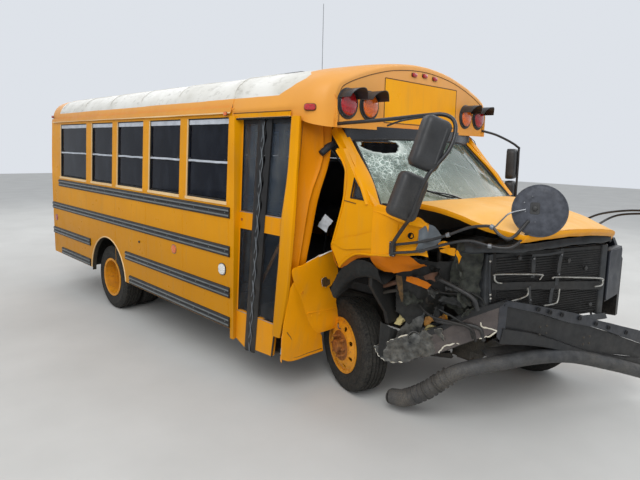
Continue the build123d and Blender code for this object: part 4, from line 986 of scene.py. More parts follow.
def make_small_lamps():
    form = Form("marker_lamps", "bus", "small_lamps")
    for lamp in SMALL:
        oval_lamp(form, *lamp)
    for side in (-1, 1):
        for z, radius, look in ((1260, 75, RED_LENS), (1000, 60, CLEAR_LENS)):
            place = aim((side * 1020, REAR_Y, z), (0, 1, 0))
            form.turned([(-1, radius), (12, radius), (16, radius - 4), (16, radius - 12)],
                        HOOD_BLACK, place, 48)
            form.turned([(8, radius - 11), (20, radius - 13), (26, radius * 0.6), (28, radius * 0.25)],
                        look, place, 48)
        oval_lamp(form, side * 1212, -2502, 2148, (side, 0, 0), 22, 14, 12, AMBER_LENS)
        oval_lamp(form, side * 1205, 1451, 2227, (side, 0, 0), 26, 15, 12, RED_LENS)
    form.finish()


make_warning_lamps()
make_small_lamps()


# Mirrors
def mirror_head(form, x, y, z, yaw, roll, height, width=184):
    """Crowned housing with a mirror let into its rear face and a ridge for the tube clamps."""
    turn = Matrix.Rotation(math.radians(yaw), 4, "Z") @ Matrix.Rotation(math.radians(roll), 4, "Y")
    place = Matrix.Translation((x, y, z)) @ turn @ Matrix.Rotation(math.radians(90), 4, "X")
    outline = box_outline(width, height, 44, 6)
    rings = []
    for pull, depth in ((58, 42), (36, 40), (18, 35), (7, 26), (1, 12), (0, -6), (0, -28), (3, -37)):
        rings.append([place @ Vector((*(p - p.normalized() * pull), depth)) for p in outline])
    form.loft(rings, PLASTIC)
    form.frame(inset(outline, 1), 8, -40, -34, PLASTIC, place)
    form.slab(inset(outline, 9), -41.5, -39, MIRROR, place, 0.6)
    form.turned([(-height * 0.36, 5), (-height * 0.34, 12), (height * 0.34, 12),
                 (height * 0.36, 5)], PLASTIC,
                place @ Matrix.Translation((width * 0.28, 0, 33)) @ Matrix.Rotation(math.radians(-90),
            4, "X"), 12)


def round_mirror(form, at, along):
    """Convex crossview mirror seen on its back: shell, rolled rim, screws and centre bracket."""
    place = aim(at, along)
    shell = [(-12, 139), (-12, 146), (-4, 146), (2, 143), (2, 138), (7, 132), (10, 100),
             (12, 60), (12.5, 20)]
    form.turned(shell, DISC_BACK, place, 64)
    bulge = [(-11, 138), (-11.5, 137), (-11.9, 60), (-12, 10)]
    form.turned(bulge, MIRROR, place, 64)
    for x, y in ((-80, 42), (-40, 78), (-22, 38), (-72, -8), (-60, -62), (-18, -62)):
        form.bolts([(place @ Vector((x, y, 8)), along)], 4.5, 5, STEEL, 8)
    form.slab(box_outline(50, 66, 12), 9, 14, PLASTIC, place @ Matrix.Translation((-24, 12, 0)))
    form.turned([(12, 15), (24, 13), (26, 8)], PLASTIC, place @ Matrix.Translation((-24, 12, 0)), 16)


# Tube runs on the right, fitted to the photograph: mirror loop, its brace and the two cross arms
LOOP = (
    (-1018, -4015, 1255), (-1030, -4030, 1328), (-1082, -4139, 1447), (-1140, -4225, 1521),
        (-1150, -4274, 1634),
    (-1128, -4317, 1760), (-1095, -4351, 1822), (-1050, -4395, 1905), (-1009, -4403, 1994),
        (-980, -4376, 2067),
    (-990, -4315, 2103), (-1041, -4223, 2098), (-1040, -3920, 2080), (-1005, -3512, 2066),
)
BRACE = ((-1046, -4253, 2092), (-1060, -4084, 2072), (-1030, -3949, 2045))
ARM_HIGH = (
    (-1012, -4015, 1312), (-967, -4124, 1335), (-930, -4228, 1364), (-903, -4332, 1406),
            (-871, -4441, 1459),
    (-859, -4521, 1479), (-847, -4576, 1479), (-847, -4626, 1440), (-820, -4684, 1429), (-770, -4750, 1530),
)
ARM_LOW = (
    (-1014, -4020, 1262), (-953, -4175, 1291), (-899, -4346, 1359), (-868, -4458, 1384),
           (-844, -4570, 1369),
    (-821, -4637, 1365), (-796, -4688, 1381), (-768, -4734, 1441), (-745, -4768, 1535),
)


def make_right_mirrors():
    form = Form("right_mirror_set", "bus", "mirrors_right")
    mirror_head(form, -1103, -4312, 1938, -28, 19, 300, 168)
    mirror_head(form, -1110, -4180, 1632, -28, 20, 274, 180)
    form.tube(LOOP, 12, TUBE_BLACK, 12, 6)
    form.tube(BRACE, 6, TUBE_BLACK, 8)
    round_mirror(form, (-735, -4790, 1585), (-0.925, -0.365, 0.102))
    base = outboard(-1, -1000, -4008, 1285)
    form.slab(box_outline(44, 96, 12), 0, 14, TUBE_BLACK, base)
    form.bolts([(base @ Vector((x, y, 13)), (-1, 0, 0)) for x in (-14, 14) for y in (-40, 40)], 5, 5, STEEL)
    form.tube(ARM_HIGH, 9, TUBE_BLACK, 10, 6)
    form.tube(ARM_LOW, 9, TUBE_BLACK, 10, 6)
    form.tube([(-844, -4593, 1481), (-838, -4633, 1531), (-822, -4666, 1567), (-770, -4728, 1590)],
              4.5, STEEL, 8)
    for at, along in ((ARM_HIGH[3], (0.2, -0.8, 0.35)), (ARM_LOW[4], (0.2, -0.9, 0.0)),
                      (ARM_HIGH[6], (0.1, -1, -0.4))):
        form.turned([(-12, 12), (-9, 15), (9, 15), (12, 12)], STEEL, aim(at, along), 14)
    form.finish()


def make_left_mirrors():
    form = Form("left_mirror_set", "bus", "mirrors_left")
    mirror_head(form, 1300, -3690, 1790, 12, 0, 292)
    mirror_head(form, 1300, -3690, 1480, 12, 0, 292)
    arm = [(992, -3860, 1300), (1130, -3800, 1308), (1285, -3748, 1320), (1306, -3742, 1380),
           (1306, -3742, 1880)]
    arm += [(1285, -3730, 1960), (1130, -3610, 2055), (1005, -3505, 2098)]
    form.tube(arm, 11, TUBE_BLACK, 12, 8)
    base = outboard(1, 998, -3862, 1300)
    form.slab(box_outline(66, 116, 14), 0, 14, HOOD_BLACK, base)
    round_mirror(form, (930, -5010, 1500), (0.45, -0.89, 0.05))
    form.tube([(930, -4460, 1335), (962, -4600, 1420), (965, -4800, 1470), (934, -5000, 1488)], 9,
              HOOD_BLACK, 10, 7)
    form.tube([(930, -4560, 1300), (1000, -4720, 1420), (938, -5000, 1470)], 9, HOOD_BLACK, 10, 7)
    form.finish()


make_right_mirrors()
make_left_mirrors()


# Front cap: one smooth moulding over the CAD shell's stations
CAP_STATIONS = (
    (-2562, 1192, 2128, 1052, 2420, 2562, 2190), (-2850, 1191, 2128, 1048, 2420, 2564, 2192),
    (-3120, 1186, 2128, 1042, 2419, 2565, 2198), (-3270, 1172, 2100, 1024, 2416, 2568, 2206),
    (-3380, 1150, 2065, 1000, 2410, 2570, 2215), (-3460, 1098, 2048, 968, 2394, 2568, 2240),
    (-3492, 1048, 2043, 940, 2379, 2561, 2263), (-3504, 1022, 2042, 922, 2366, 2550, 2266),
)


def arch(y, half, low, knuckle_x, knuckle_z, top, gutter):
    """Roof outline from the right foot over the crown to the left foot."""
    bulge = (-knuckle_x - (half - knuckle_x) * 0.73, gutter + (knuckle_z - gutter) * 0.617)
    points = [(-half, low), (-half, (low + gutter) / 2), (-half, gutter), bulge]
    points += [(x * knuckle_x, knuckle_z + (top - knuckle_z) * (1 - x * x))
               for x in (-1, -0.88, -0.7, -0.45, -0.2)]
    points += [(0, top)] + [(-x, z) for x, z in reversed(points)]
    return [(x, y, z) for x, z in points]


def make_cap():
    form = Form("front_cap_moulding", "bus", "front_cap")
    rows = [arch(*station) for station in CAP_STATIONS]
    edge = rows[-1]
    low = edge[0][2]
    for share in (0.08, 0.3, 0.6, 0.9, 1.0):
        rows.append([(x, CAP_Y, low + (z - low) * (1 - share) * (1 - 0.02 * share)) for x, _, z in edge])
    form.sheet(rows, ROOF, -14, refine=3)
    form.sheet([[(x, -3480, 2052) for x in (-960, 0, 960)], [(x, -3290, 2106) for x in (-1090, 0, 1090)]],
               ROOF, 6, refine=2)
    form.finish(50)


def make_cap_trim():
    """Arch groove, blank sign panel with its border, seam and drip bead."""
    form = Form("front_cap_trim", "bus")
    groove = [(-992, 2075), (-992, 2180), (-988, 2262), (-965, 2312), (-900, 2348)]
    groove += [(x, 2520 - 182 * (x / 930) ** 2) for x in (-800, -600, -350, 0)]
    groove += [(-x, z) for x, z in reversed(groove[:-1])]
    # Dark groove line: painted shadow
    form.tube([(x, CAP_Y, z) for x, z in groove], 3.2, GROOVE, 8)
    sign = aim((0, CAP_Y, 2262), (0, -1, 0))
    form.slab(box_outline(1000, 318, 8), -3, 1.5, SIGN_PANEL, sign, 0.7)
    form.frame(box_outline(1012, 330, 12), 7, -2, 3, GROOVE, sign)
    seam = [(x, -2566, z + 3) for x, _, z in arch(-2566, 1192, 2190, 1052, 2420, 2562, 2192)[1:-1]]
    line = flow(seam, 4)
    form.tube([p for p in line if p.z > 2266], 3, ROOF, 6, 1)
    for side in (-1, 1):
        form.tube([p for p in line if p.z < 2272 and p.x * side > 0], 3, GROOVE, 6, 1)
    form.bolts([((p.x, -2585, p.z), (p.x * 0.4, 0, p.z - 1500)) for p in flow(seam, 5)[2:-2:2]],
               *ROOF_RIVET)
    for side in (-1, 1):
        place = aim((side * 1149, -3388, 2170), (side * 0.84, -0.54, 0.05))
        form.slab(box_outline(76, 40, 18), -4, 18, RED_LENS, place, 4)
        form.frame(box_outline(86, 50, 22), 7, -4, 5, GROOVE, place)
        form.bolts([((side * 1012, CAP_Y - 1, z), (0, -1, 0)) for z in (2070, 2130)], *ROOF_RIVET)
    form.finish()


def make_header():
    """Dark band between the cap and the windshield."""
    form = Form("windshield_sun_panel", "bus")
    plan = [(-868, -3420), (-858, -3458), (-773, -3462), (-530, -3514), (-180, -3539)]
    plan += [(-x, y) for x, y in reversed(plan)]
    rows = [[(x, y, z) for x, y in plan] for z in (1952, 1990, 2064)]
    form.sheet(rows, VISOR_GLASS, 4, refine=3)
    form.finish()


make_cap()
make_cap_trim()
make_header()

# Windshield rows from its base to its head, right to left
SHIELD = (
    ((-908, -3822, 1532), (-620, -3920, 1512), (-210, -3965, 1505), (210, -3965, 1505), (620, -3925, 1508),
     (915, -3850, 1512)),
    ((-852, -3668, 1735), (-575, -3715, 1740), (-195, -3745, 1742), (195, -3745, 1742), (575, -3715, 1740),
     (845, -3655, 1735)),
    ((-773, -3452, 1958), (-530, -3505, 1972), (-180, -3530, 1980), (180, -3530, 1980), (530, -3505, 1972),
     (773, -3452, 1958)),
)


def make_windshield():
    form = Form("windshield_glass", "bus", "windshield")
    form.sheet(SHIELD, SHATTERED, 5, refine=8, crumple=((300, 5), (60, 2)), seed=2.0)
    form.finish()
    trim = Form("windshield_gasket", "bus")
    border = list(SHIELD[0]) + [SHIELD[1][5]] + list(reversed(SHIELD[2])) + [SHIELD[1][0]]
    for start, end in ((0, 6), (5, 8), (7, 13), (12, 15)):
        trim.tube(shifted((border + border[:1])[start:end], 0, -2, 1), 11, RUBBER, 8, 6)
    for pivot, tip in (((-560, -3962, 1512), (-905, -3862, 1545)),
                       ((-40, -3985, 1516), (-424, -3878, 1612))):
        x, y, z = ((a + b) / 2 for a, b in zip(pivot, tip))
        trim.tube([pivot, (x, y - 20, z + 14), tip], (9, 6, 4), HOOD_BLACK, 8)
        trim.tube([(x + 90, y - 8, z), (x, y, z), (tip[0] - 30, tip[1], tip[2] + 4)], 7, RUBBER, 6)
        trim.turned([(-12, 16), (10, 16), (16, 10)], HOOD_BLACK, aim(pivot, (0, -0.3, 1)), 16)
    trim.finish()


# Hood rows from its rear edge to its nose, right to left
HOOD = (
    ((-800, -3880, 1560), (-450, -3975, 1548), (-100, -4005, 1545), (250, -4000, 1538), (600, -3945, 1512),
     (870, -3880, 1462)),
    ((-805, -4080, 1562), (-455, -4130, 1575), (-100, -4150, 1572), (250, -4150, 1560), (600, -4120, 1530),
     (895, -4070, 1450)),
    ((-815, -4300, 1535), (-460, -4340, 1562), (-100, -4360, 1555), (250, -4360, 1535), (600, -4340, 1500),
     (905, -4300, 1420)),
    ((-820, -4520, 1480), (-460, -4570, 1520), (-100, -4590, 1510), (250, -4590, 1480), (600, -4570, 1440),
     (900, -4520, 1380)),
    ((-790, -4742, 1446), (-450, -4815, 1450), (-100, -4845, 1430), (250, -4845, 1395), (600, -4815, 1345),
     (850, -4738, 1271)),
)


def make_hood():
    form = Form("buckled_hood", "bus", "hood")
    # The hood's top carries pale patches as a painted highlight
    form.sheet(HOOD, HOOD_TOP, -5, refine=9, crumple=((420, 7), (130, 3)), seed=4.0)
    right, nose = [row[0] for row in HOOD], HOOD[-1]
    for edge, near, far, seed in ((right, (4, 0, -16), (14, 0, -34), 4.0),
                                  (nose, (0, 2, -22), (0, 22, -44), 5.0)):
        rolled = [edge, shifted(edge, *near), shifted(edge, *far)]
        form.sheet(rolled, HOOD_PAINT, 3, refine=5, crumple=((90, 5),), rag=2, seed=seed)
    form.finish(55)


# Right fender: torn upper edge, top and side, each row from rear to front
FENDER_TOP_EDGE = ((-1000, -3838, 1538), (-984, -3925, 1530), (-958, -4029, 1456), (-941, -4072, 1452),
                   (-924, -4132, 1492), (-905, -4200, 1446))
FENDER_TOP = (
    ((-1000, -3840, 1505), (-975, -3850, 1540), (-900, -3880, 1525), (-830, -3900, 1490)),
    ((-995, -3920, 1490), (-965, -3930, 1522), (-905, -3950, 1512), (-850, -3960, 1470)),
    ((-975, -4060, 1450), (-945, -4070, 1482), (-905, -4085, 1475), (-870, -4090, 1440)),
    ((-930, -4170, 1430), (-905, -4180, 1452), (-885, -4185, 1448), (-865, -4190, 1420)),
)
FENDER_SIDE = (
    ((-1003, -3838, 1440), (-992, -3929, 1436), (-972, -4009, 1330), (-932, -4080, 1379),
     (-922, -4152, 1392), (-910, -4195, 1349)),
    ((-1004, -3838, 1300), (-1001, -3925, 1310), (-986, -3990, 1282), (-948, -4060, 1300),
     (-925, -4135, 1322), (-908, -4195, 1300)),
    ((-1004, -3838, 1222), (-1002, -3930, 1236), (-987, -4000, 1242), (-954, -4095, 1248),
     (-930, -4160, 1258), (-912, -4210, 1252)),
)


def make_fender():
    """Torn right fender: panel, its crumpled inner flange, the lamp socket's grey shell and loose strips."""
    form = Form("torn_fender_right", "bus", "fender_right")
    form.sheet((FENDER_TOP_EDGE, *FENDER_SIDE), FENDER_PAINT, 4, refine=6,
               crumple=((160, 5), (50, 2)), seed=1.0)
    form.sheet(FENDER_TOP, FENDER_PAINT, 4, refine=6, crumple=((150, 5),), seed=1.5)
    form.tube([(-978, -4022, 1440), (-972, -4008, 1335), (-984, -3992, 1256)], 3, FENDER_PAINT, 6, 4)
    # The inner flange's dark orange is painted shade
    flange = [FENDER_SIDE[2][:4], [(-992, -3830, 1180), (-985, -3930, 1195), (-950, -4030, 1190),
                                   (-900, -4160, 1195)],
              [(-950, -3850, 1130), (-930, -3930, 1110), (-880, -4040, 1135), (-830, -4150, 1175)]]
    form.sheet(flange, SHADED_ORANGE, 4, refine=6, crumple=((90, 12), (35, 4)), rag=7, seed=3.0)
    hole = aim((-938, -4095, 1372), (-0.95, -0.3, 0))
    form.turned([(-4, 27), (5, 27), (6, 22), (-4, 20)], FENDER_PAINT, hole, 24)
    # Black disc inside the hole: painted shade
    form.turned([(-3, 20), (4, 20), (4, 14), (-3, 12), (-3, 2)], HOLE_BLACK, hole, 24)
    lining = [
        [(-985, -3466, 899), (-985, -3518, 1007), (-985, -3587, 1095), (-985, -3698, 1158),
         (-980, -3798, 1165), (-970, -3872, 1128)],
        [(-965, -3496, 843), (-965, -3566, 941), (-965, -3643, 1011), (-965, -3728, 1048),
         (-955, -3811, 1045), (-940, -3893, 1023)],
        [(-800, -3480, 900), (-800, -3560, 990), (-800, -3640, 1050), (-800, -3728, 1088),
         (-800, -3811, 1095), (-800, -3893, 1060)],
    ]
    form.sheet(lining, ARCH_BLACK, 4, refine=6, crumple=((150, 14), (50, 5)), rag=5, seed=3.5)
    form.tube([(-800, -3736, 944), (-800, -3823, 979), (-800, -3910, 1020)], 17, RUSTED_PIPE, 10, 3)
    form.tube([(-800, -3751, 899), (-800, -3833, 934), (-800, -3917, 962)], 12, IRON, 10, 3)
    cone = [
        [(-912, -4140, 1412), (-885, -4180, 1448), (-850, -4208, 1442), (-806, -4236, 1384)],
        [(-926, -4150, 1344), (-905, -4180, 1352), (-862, -4210, 1350), (-816, -4234, 1350)],
        [(-930, -4132, 1278), (-912, -4164, 1276), (-886, -4192, 1288), (-850, -4212, 1316)],
    ]
    form.sheet([shifted(row, -24, -8, 0) for row in cone], GREY_BLUE, 3, refine=6,
               crumple=((70, 12), (24, 3)), rag=3, seed=6.0)
    scraps = (
        (((-800, -4205, 1330), (-792, -4235, 1342), (-780, -4268, 1339)),
         ((-800, -4212, 1296), (-792, -4240, 1300), (-780, -4280, 1304)), FENDER_PAINT),
        (((-800, -4220, 1284), (-790, -4265, 1306), (-778, -4318, 1306)),
         ((-800, -4226, 1270), (-790, -4265, 1268), (-778, -4312, 1256)), FENDER_PAINT),
        (((-776, -4322, 1300), (-770, -4346, 1270), (-770, -4356, 1258)),
         ((-776, -4314, 1280), (-770, -4334, 1240), (-770, -4342, 1216)), FENDER_PAINT),
        # This strip is in the dark orange of painted shade
        (((-815, -3990, 1074), (-760, -4050, 1062), (-700, -4108, 1024)),
         ((-822, -3990, 1044), (-765, -4040, 1018), (-704, -4080, 992)), SHADED_ORANGE),
        (((-725, -4060, 1076), (-690, -4100, 1098), (-660, -4131, 1108)),
         ((-715, -4075, 1048), (-690, -4095, 1050), (-662, -4112, 1036)), RUSTED_PIPE),
        (((-850, -3925, 1076), (-830, -3935, 980), (-802, -3946, 884)),
         ((-822, -3960, 1066), (-812, -3965, 960), (-796, -3958, 890)), OCHRE),
    )
    for index, (upper, lower, look) in enumerate(scraps):
        form.sheet([upper, lower], look, 3, refine=7, crumple=((50, 12), (20, 4)), rag=5, seed=7.0 + index)
    form.finish(50)


# Torn step fairing: its side from bottom to top, then its face
FAIRING_SIDE = (
    ((-1186, -3166, 347), (-1078, -3159, 297), (-900, -3160, 292), (-741, -3163, 290)),
    ((-1208, -3196, 480), (-1098, -3188, 440), (-905, -3180, 400), (-762, -3170, 385)),
    ((-1208, -3214, 627), (-1111, -3207, 577), (-922, -3193, 480), (-790, -3178, 452)),
    ((-1200, -3240, 760), (-1142, -3240, 760), (-1060, -3225, 690), (-1000, -3214, 690)),
    ((-1191, -3262, 905), (-1175, -3270, 938), (-1168, -3271, 945), (-1120, -3264, 948)),
)
FAIRING_FACE = (
    ((-880, -3100, 475), (-757, -3112, 480), (-607, -3130, 488)),
    ((-891, -3170, 462), (-757, -3196, 470), (-607, -3212, 480)),
    ((-972, -3208, 642), (-820, -3215, 635), (-657, -3228, 628)),
    ((-1029, -3219, 712), (-871, -3244, 757), (-716, -3257, 760)),
    ((-1166, -3271, 945), (-967, -3282, 926), (-802, -3274, 845)),
    ((-1206, -3295, 1048), (-994, -3306, 1024), (-748, -3307, 947)),
    ((-1128, -3306, 1068), (-975, -3336, 1127), (-837, -3357, 1157)),
)


def make_fairing():
    form = Form("torn_step_fairing", "bus", "step_fairing")
    form.sheet(FAIRING_SIDE, FAIRING_PAINT, -5, refine=3, crumple=((220, 4),), seed=8.0)
    form.sheet(FAIRING_FACE, FAIRING_PAINT, -5, FIBRE, 4, ((220, 6), (60, 2)), rag=10, seed=9.0,
               whole=("first", "start"))
    form.tube([(-1170, -3214, 560), (-1104, -3196, 470), (-1082, -3168, 330), (-900, -3168, 318),
               (-760, -3170, 315)], 3, GROOVE, 6, 4)
    form.tube([(-985, -3340, 1120), (-940, -3348, 1135), (-880, -3356, 1150), (-836, -3360, 1150),
               (-815, -3350, 1110)], (3, 5, 4, 9, 6), FIBRE, 7, 5)
    tear = [[(-925, -3302, 930), (-880, -3304, 942), (-835, -3302, 925)],
            [(-905, -3300, 880), (-865, -3302, 868), (-822, -3298, 880)]]
    form.sheet(tear, OCHRE, 3, FIBRE, 8, ((40, 8), (16, 4)), rag=12, seed=9.5)
    form.tube([(-972, -3216, 662), (-820, -3223, 655), (-670, -3234, 648)], 6, FAIRING_PAINT, 8, 6)
    form.bolts([((x, -3228 - (x + 972) * 0.06, 640), (-0.2, -1, 0.1)) for x in (-940, -860, -780, -700)],
               5, 4, FAIRING_PAINT, 8)
    form.finish(35)


make_windshield()
make_hood()
make_fender()
make_fairing()


# Wrecked front end: the radiator's right end and its two directions
PACK_CORNER = Vector((-455, -4385, 0))
PACK_ALONG = Vector((0.935, -0.354, 0))
PACK_OUT = Vector((-0.354, -0.935, 0))


def pack_point(along, out, z):
    """Point on the radiator's front, measured from its right end towards the bus's left."""
    x, y, _ = PACK_CORNER + PACK_ALONG * along + PACK_OUT * out
    return (x, y, z)


def make_radiator():
    """Radiator and condenser with fins, end tanks, bent tie panel, brackets and the hooked rods."""
    form = Form("radiator_and_support", "bus", "radiator_pack")
    place = aim(pack_point(560, 0, 980), PACK_OUT)
    form.block((-560, -260, -62), (560, 255, -22), FIN_BLACK, 6, place)
    for k in range(26):
        rise = -235 + k * 18
        form.block((-520, rise, -24), (520, rise + 7, -14), FIN_BLACK, 2, place)
    for side in (-1, 1):
        form.block((side * 552 - 28, -275, -76), (side * 552 + 28, 262, -4), BENT_GREY, 8, place)
    for k in range(5):
        form.tube([pack_point(20 + k * 8, -10, 1240), pack_point(22 + k * 9, 8, 1020),
                   pack_point(28 + k * 8, 4, 760)], 3, FIN_BLACK, 6)

    def row(out, points):
        return [pack_point(along, out, z) for along, z in points]

    crest = ((-251, 1286), (-27, 1260), (301, 1247), (638, 1263), (1003, 1276), (1100, 1278))
    top = [row(30, [(along, z + 50) for along, z in crest]), row(38, crest),
           row(-34, [(along, z - 8) for along, z in crest])]
    form.sheet(top, BENT_GREY, 4, refine=6, crumple=((140, 14), (45, 4)), rag=3, seed=11.0)
    form.sheet([row(-20, ((60, 730), (900, 708), (1160, 700))),
                row(0, ((60, 690), (900, 672), (1160, 664)))], BENT_GREY, 30, refine=4,
               crumple=((200, 8),), seed=12.0)
    band = [row(6, ((20, 1050), (323, 1028), (700, 1000), (1082, 966))),
            row(6, ((20, 1000), (329, 976), (700, 940), (1100, 902)))]
    form.sheet(band, FIN_BLACK, 5, refine=5, crumple=((160, 5),), seed=12.5)
    straps = (((352, 1212), (357, 1138), (360, 1052), 34), ((616, 1241), (612, 1168), (604, 1050), 32),
              ((604, 1050), (598, 1020), (594, 980), 30),
              ((344, 996), (350, 930), (358, 868), 22), ((560, 966), (552, 910), (546, 850), 30))
    for index, (*points, wide) in enumerate(straps):
        form.sheet([row(16, points), row(16, [(along + wide, z) for along, z in points])], BENT_GREY, 4,
                   refine=5, crumple=((120, 7),), seed=13.0 + index)
    form.sheet([row(17, ((350, 1222), (500, 1218), (640, 1230))),
                row(17, ((350, 1206), (500, 1202), (640, 1214)))], BENT_GREY, 4, refine=4, seed=14.5)
    screws = ((369, 1190), (374, 1075), (630, 1200), (618, 1060), (366, 900))
    form.bolts([(pack_point(along, 18, z), PACK_OUT) for along, z in screws], 9, 8, STEEL)
    rods = (
        ((86, 1046), (49, 1053), (25, 1072), (23, 1095), (48, 1108), (421, 1077), (442, 1062), (425, 1040)),
        ((547, 1036), (588, 1044), (1022, 1000), (1063, 972), (1055, 944), (984, 940)),
        ((319, 993), (324, 946), (272, 926), (180, 914)), ((623, 958), (616, 875), (585, 853), (486, 850)),
    )
    for rod in rods:
        form.tube(row(30, rod), 6, ROD, 8, 6)
    form.tube(row(24, ((-26, 1240), (-14, 1080), (2, 926))), 7, BENT_GREY, 8, 4)
    for along, z in ((-22, 1200), (2, 950), (-2, 975)):
        form.turned([(-3, 4), (3, 9), (9, 3)], ROD, aim(pack_point(along, 26, z), PACK_OUT), 8)
    for along, z in ((250, 1200), (720, 1150), (900, 1080), (980, 800), (140, 820)):
        form.turned([(-2, 16), (10, 16), (14, 11)], PLASTIC, aim(pack_point(along, 2, z), PACK_OUT), 12)
    form.finish(45)


# Bumper beam's creases from the kink to the bus's left end: top edge, band, lower lip and bottom edge
BEAM_LEFT = (
    ((-410, -4504, 946), (-132, -4603, 875), (221, -4729, 778), (473, -4818, 690), (920, -4978, 552),
     (1012, -5011, 520)),
    ((-428, -4497, 911), (-166, -4591, 836), (110, -4689, 736), (463, -4815, 632), (936, -4984, 449),
     (1012, -5011, 420)),
    ((-429, -4497, 757), (-182, -4585, 691), (11, -4654, 619), (433, -4804, 449), (940, -4985, 320),
     (1012, -5011, 292)),
    ((-453, -4488, 661), (-189, -4582, 607), (102, -4686, 526), (439, -4806, 408), (950, -4989, 250),
     (1012, -5011, 232)),
)
# The beam from the kink back to its crumpled right end
BEAM_RIGHT = (
    ((-421, -4497, 944), (-475, -4350, 876), (-512, -4248, 811), (-566, -4102, 700), (-594, -4025, 662)),
    ((-430, -4472, 902), (-476, -4347, 828), (-517, -4235, 761), (-557, -4125, 674), (-585, -4050, 629)),
    ((-432, -4468, 802), (-473, -4356, 765), (-514, -4244, 684), (-552, -4139, 615), (-580, -4064, 557)),
    ((-433, -4465, 741), (-467, -4371, 676), (-508, -4259, 608), (-562, -4111, 514), (-603, -4001, 453)),
)
# Crumpled right end of the beam and the bent plate behind it
CRUMPLE = (
    ((-724, -3671, 478), (-691, -3761, 527), (-663, -3838, 576), (-635, -3913, 603), (-594, -4026, 659),
     (-558, -4125, 692)),
    ((-719, -3685, 452), (-686, -3776, 473), (-655, -3858, 516), (-626, -3939, 544), (-589, -4040, 596),
     (-553, -4139, 633)),
    ((-707, -3717, 406), (-676, -3802, 420), (-650, -3872, 454), (-616, -3965, 493), (-580, -4065, 544),
     (-552, -4141, 585)),
    ((-693, -3754, 393), (-673, -3810, 380), (-645, -3887, 397), (-607, -3990, 451), (-579, -4067, 492),
     (-555, -4133, 527)),
)
PLATE = (
    ((-635, -3795, 550), (-624, -3826, 627), (-602, -3886, 714), (-590, -3918, 798)),
    ((-609, -3867, 557), (-597, -3899, 640), (-583, -3936, 723), (-577, -3953, 794)),
    ((-582, -3940, 569), (-572, -3968, 653), (-567, -3981, 731), (-565, -3987, 792)),
)


def moved(rail, along, reach, rise=0):
    """Row of points moved level along a direction, and up."""
    return shifted(rail, along[0] * reach, along[1] * reach, rise)


def make_bumper():
    """Creased channel beam with its row of holes, kinked and crumpled at the right, with scraped edges."""
    form = Form("bent_bumper_beam", "bus", "front_bumper_beam")
    inward = (0.336, 0.942)
    top, band, lip, foot = BEAM_LEFT
    rails = [moved(top, inward, 78, -6), top, band, moved(band, inward, 26, -4), moved(lip, inward, 30, 6),
             lip, foot, moved(foot, inward, 70, 8)]
    form.strips(rails, (BAND, BAND, BAND, SCRAPED, SCRAPED, SCRAPED, SCRAPED), -5, 6,
                ((300, 7), (80, 2)), 20.0)
    inward = (0.939, 0.344)
    top, band, middle, foot = BEAM_RIGHT
    rails = [moved(top, inward, 66, -6), top, band, moved(middle, inward, 6), foot,
             moved(foot, inward, 60, 10)]
    form.strips(rails, (SCRAPED, SCRAPED, SCRAPED_FACE, SCRAPED_FACE, SCRAPED), -5, 6,
                ((150, 8), (50, 3)), 21.0)
    kink = [[(-412, -4500, 942), (-440, -4470, 905), (-442, -4466, 800), (-446, -4462, 700)],
            [(-398, -4512, 944), (-408, -4505, 905), (-410, -4500, 760), (-434, -4494, 662)]]
    form.sheet(kink, BAND, 5, refine=5, crumple=((60, 4),), seed=22.0)
    for x, y, z in ((-150, -4602, 857), (-40, -4640, 822), (72, -4680, 790), (246, -4742, 742),
                    (420, -4802, 676), (560, -4850, 628), (760, -4920, 560)):
        spot = aim((x, y - 4, z), (-0.35, -0.94, 0))
        form.turned([(-2, 17), (3, 17), (3, 13), (-2, 12)], SCRAPED, spot, 16)
        # Black discs in the holes: painted shade
        form.turned([(2, 13), (3.5, 2)], HOLE_BLACK, spot, 16)
    for y0, z0, x0 in ((-4640, 700, -80), (-4790, 560, 350)):
        form.bolts([((x0 + dx, y0 + 22 - dx * 0.36, z0 + dz), (-0.35, -0.94, 0)) for dx in (-30, 30)
                    for dz in (-26, 26)], 9, 7, IRON)
    form.sheet(CRUMPLE, SCRAPED_GREY, 5, FIBRE, 8, ((120, 26), (46, 12), (18, 4)), rag=13, seed=23.0)
    form.sheet([moved(row, (0.9, 0.3), 60, 30) for row in CRUMPLE[:3]], SCRAPED, 5, refine=7,
               crumple=((90, 24), (36, 9)), rag=10, seed=24.0)
    form.sheet(PLATE, SCRAPED_GREY, 5, refine=8, crumple=((90, 16), (30, 5)), rag=7, seed=25.0)
    form.turned([(1, 11), (3, 2)], HOLE_BLACK, aim((-622, -3862, 588), (-0.9, -0.4, 0.1)), 14)
    cup = aim((-632, -3950, 590), (-0.85, -0.5, 0.15))
    form.turned([(-30, 20), (-6, 44), (4, 50), (6, 46), (-10, 36), (-36, 10)], SCRAPED_GREY, cup, 20)
    form.turned([(-34, 36), (-30, 2)], HOLE_BLACK, cup, 16)
    edges = (
        ((-724, -3671, 478), (-716, -3692, 430), (-700, -3736, 389), (-675, -3804, 381),
         (-649, -3875, 394)),
        ((-691, -3762, 525), (-665, -3832, 568), (-642, -3896, 599)),
        ((-475, -4355, 669), (-453, -4418, 698), (-438, -4458, 738), (-452, -4419, 746),
         (-467, -4377, 751), (-473, -4360, 783)),
        ((-566, -4108, 514), (-557, -4134, 557), (-539, -4182, 587), (-520, -4235, 607)),
    )
    for index, edge in enumerate(edges):
        run = flow(edge, 5)
        thick = [4 + 6 * abs(wander(p, 26, 30.0 + index).x) for p in run]
        form.tube([p + wander(p, 30, 31.0 + index) * 10 for p in run], thick, FIBRE, 6, 1)
    form.finish(40)


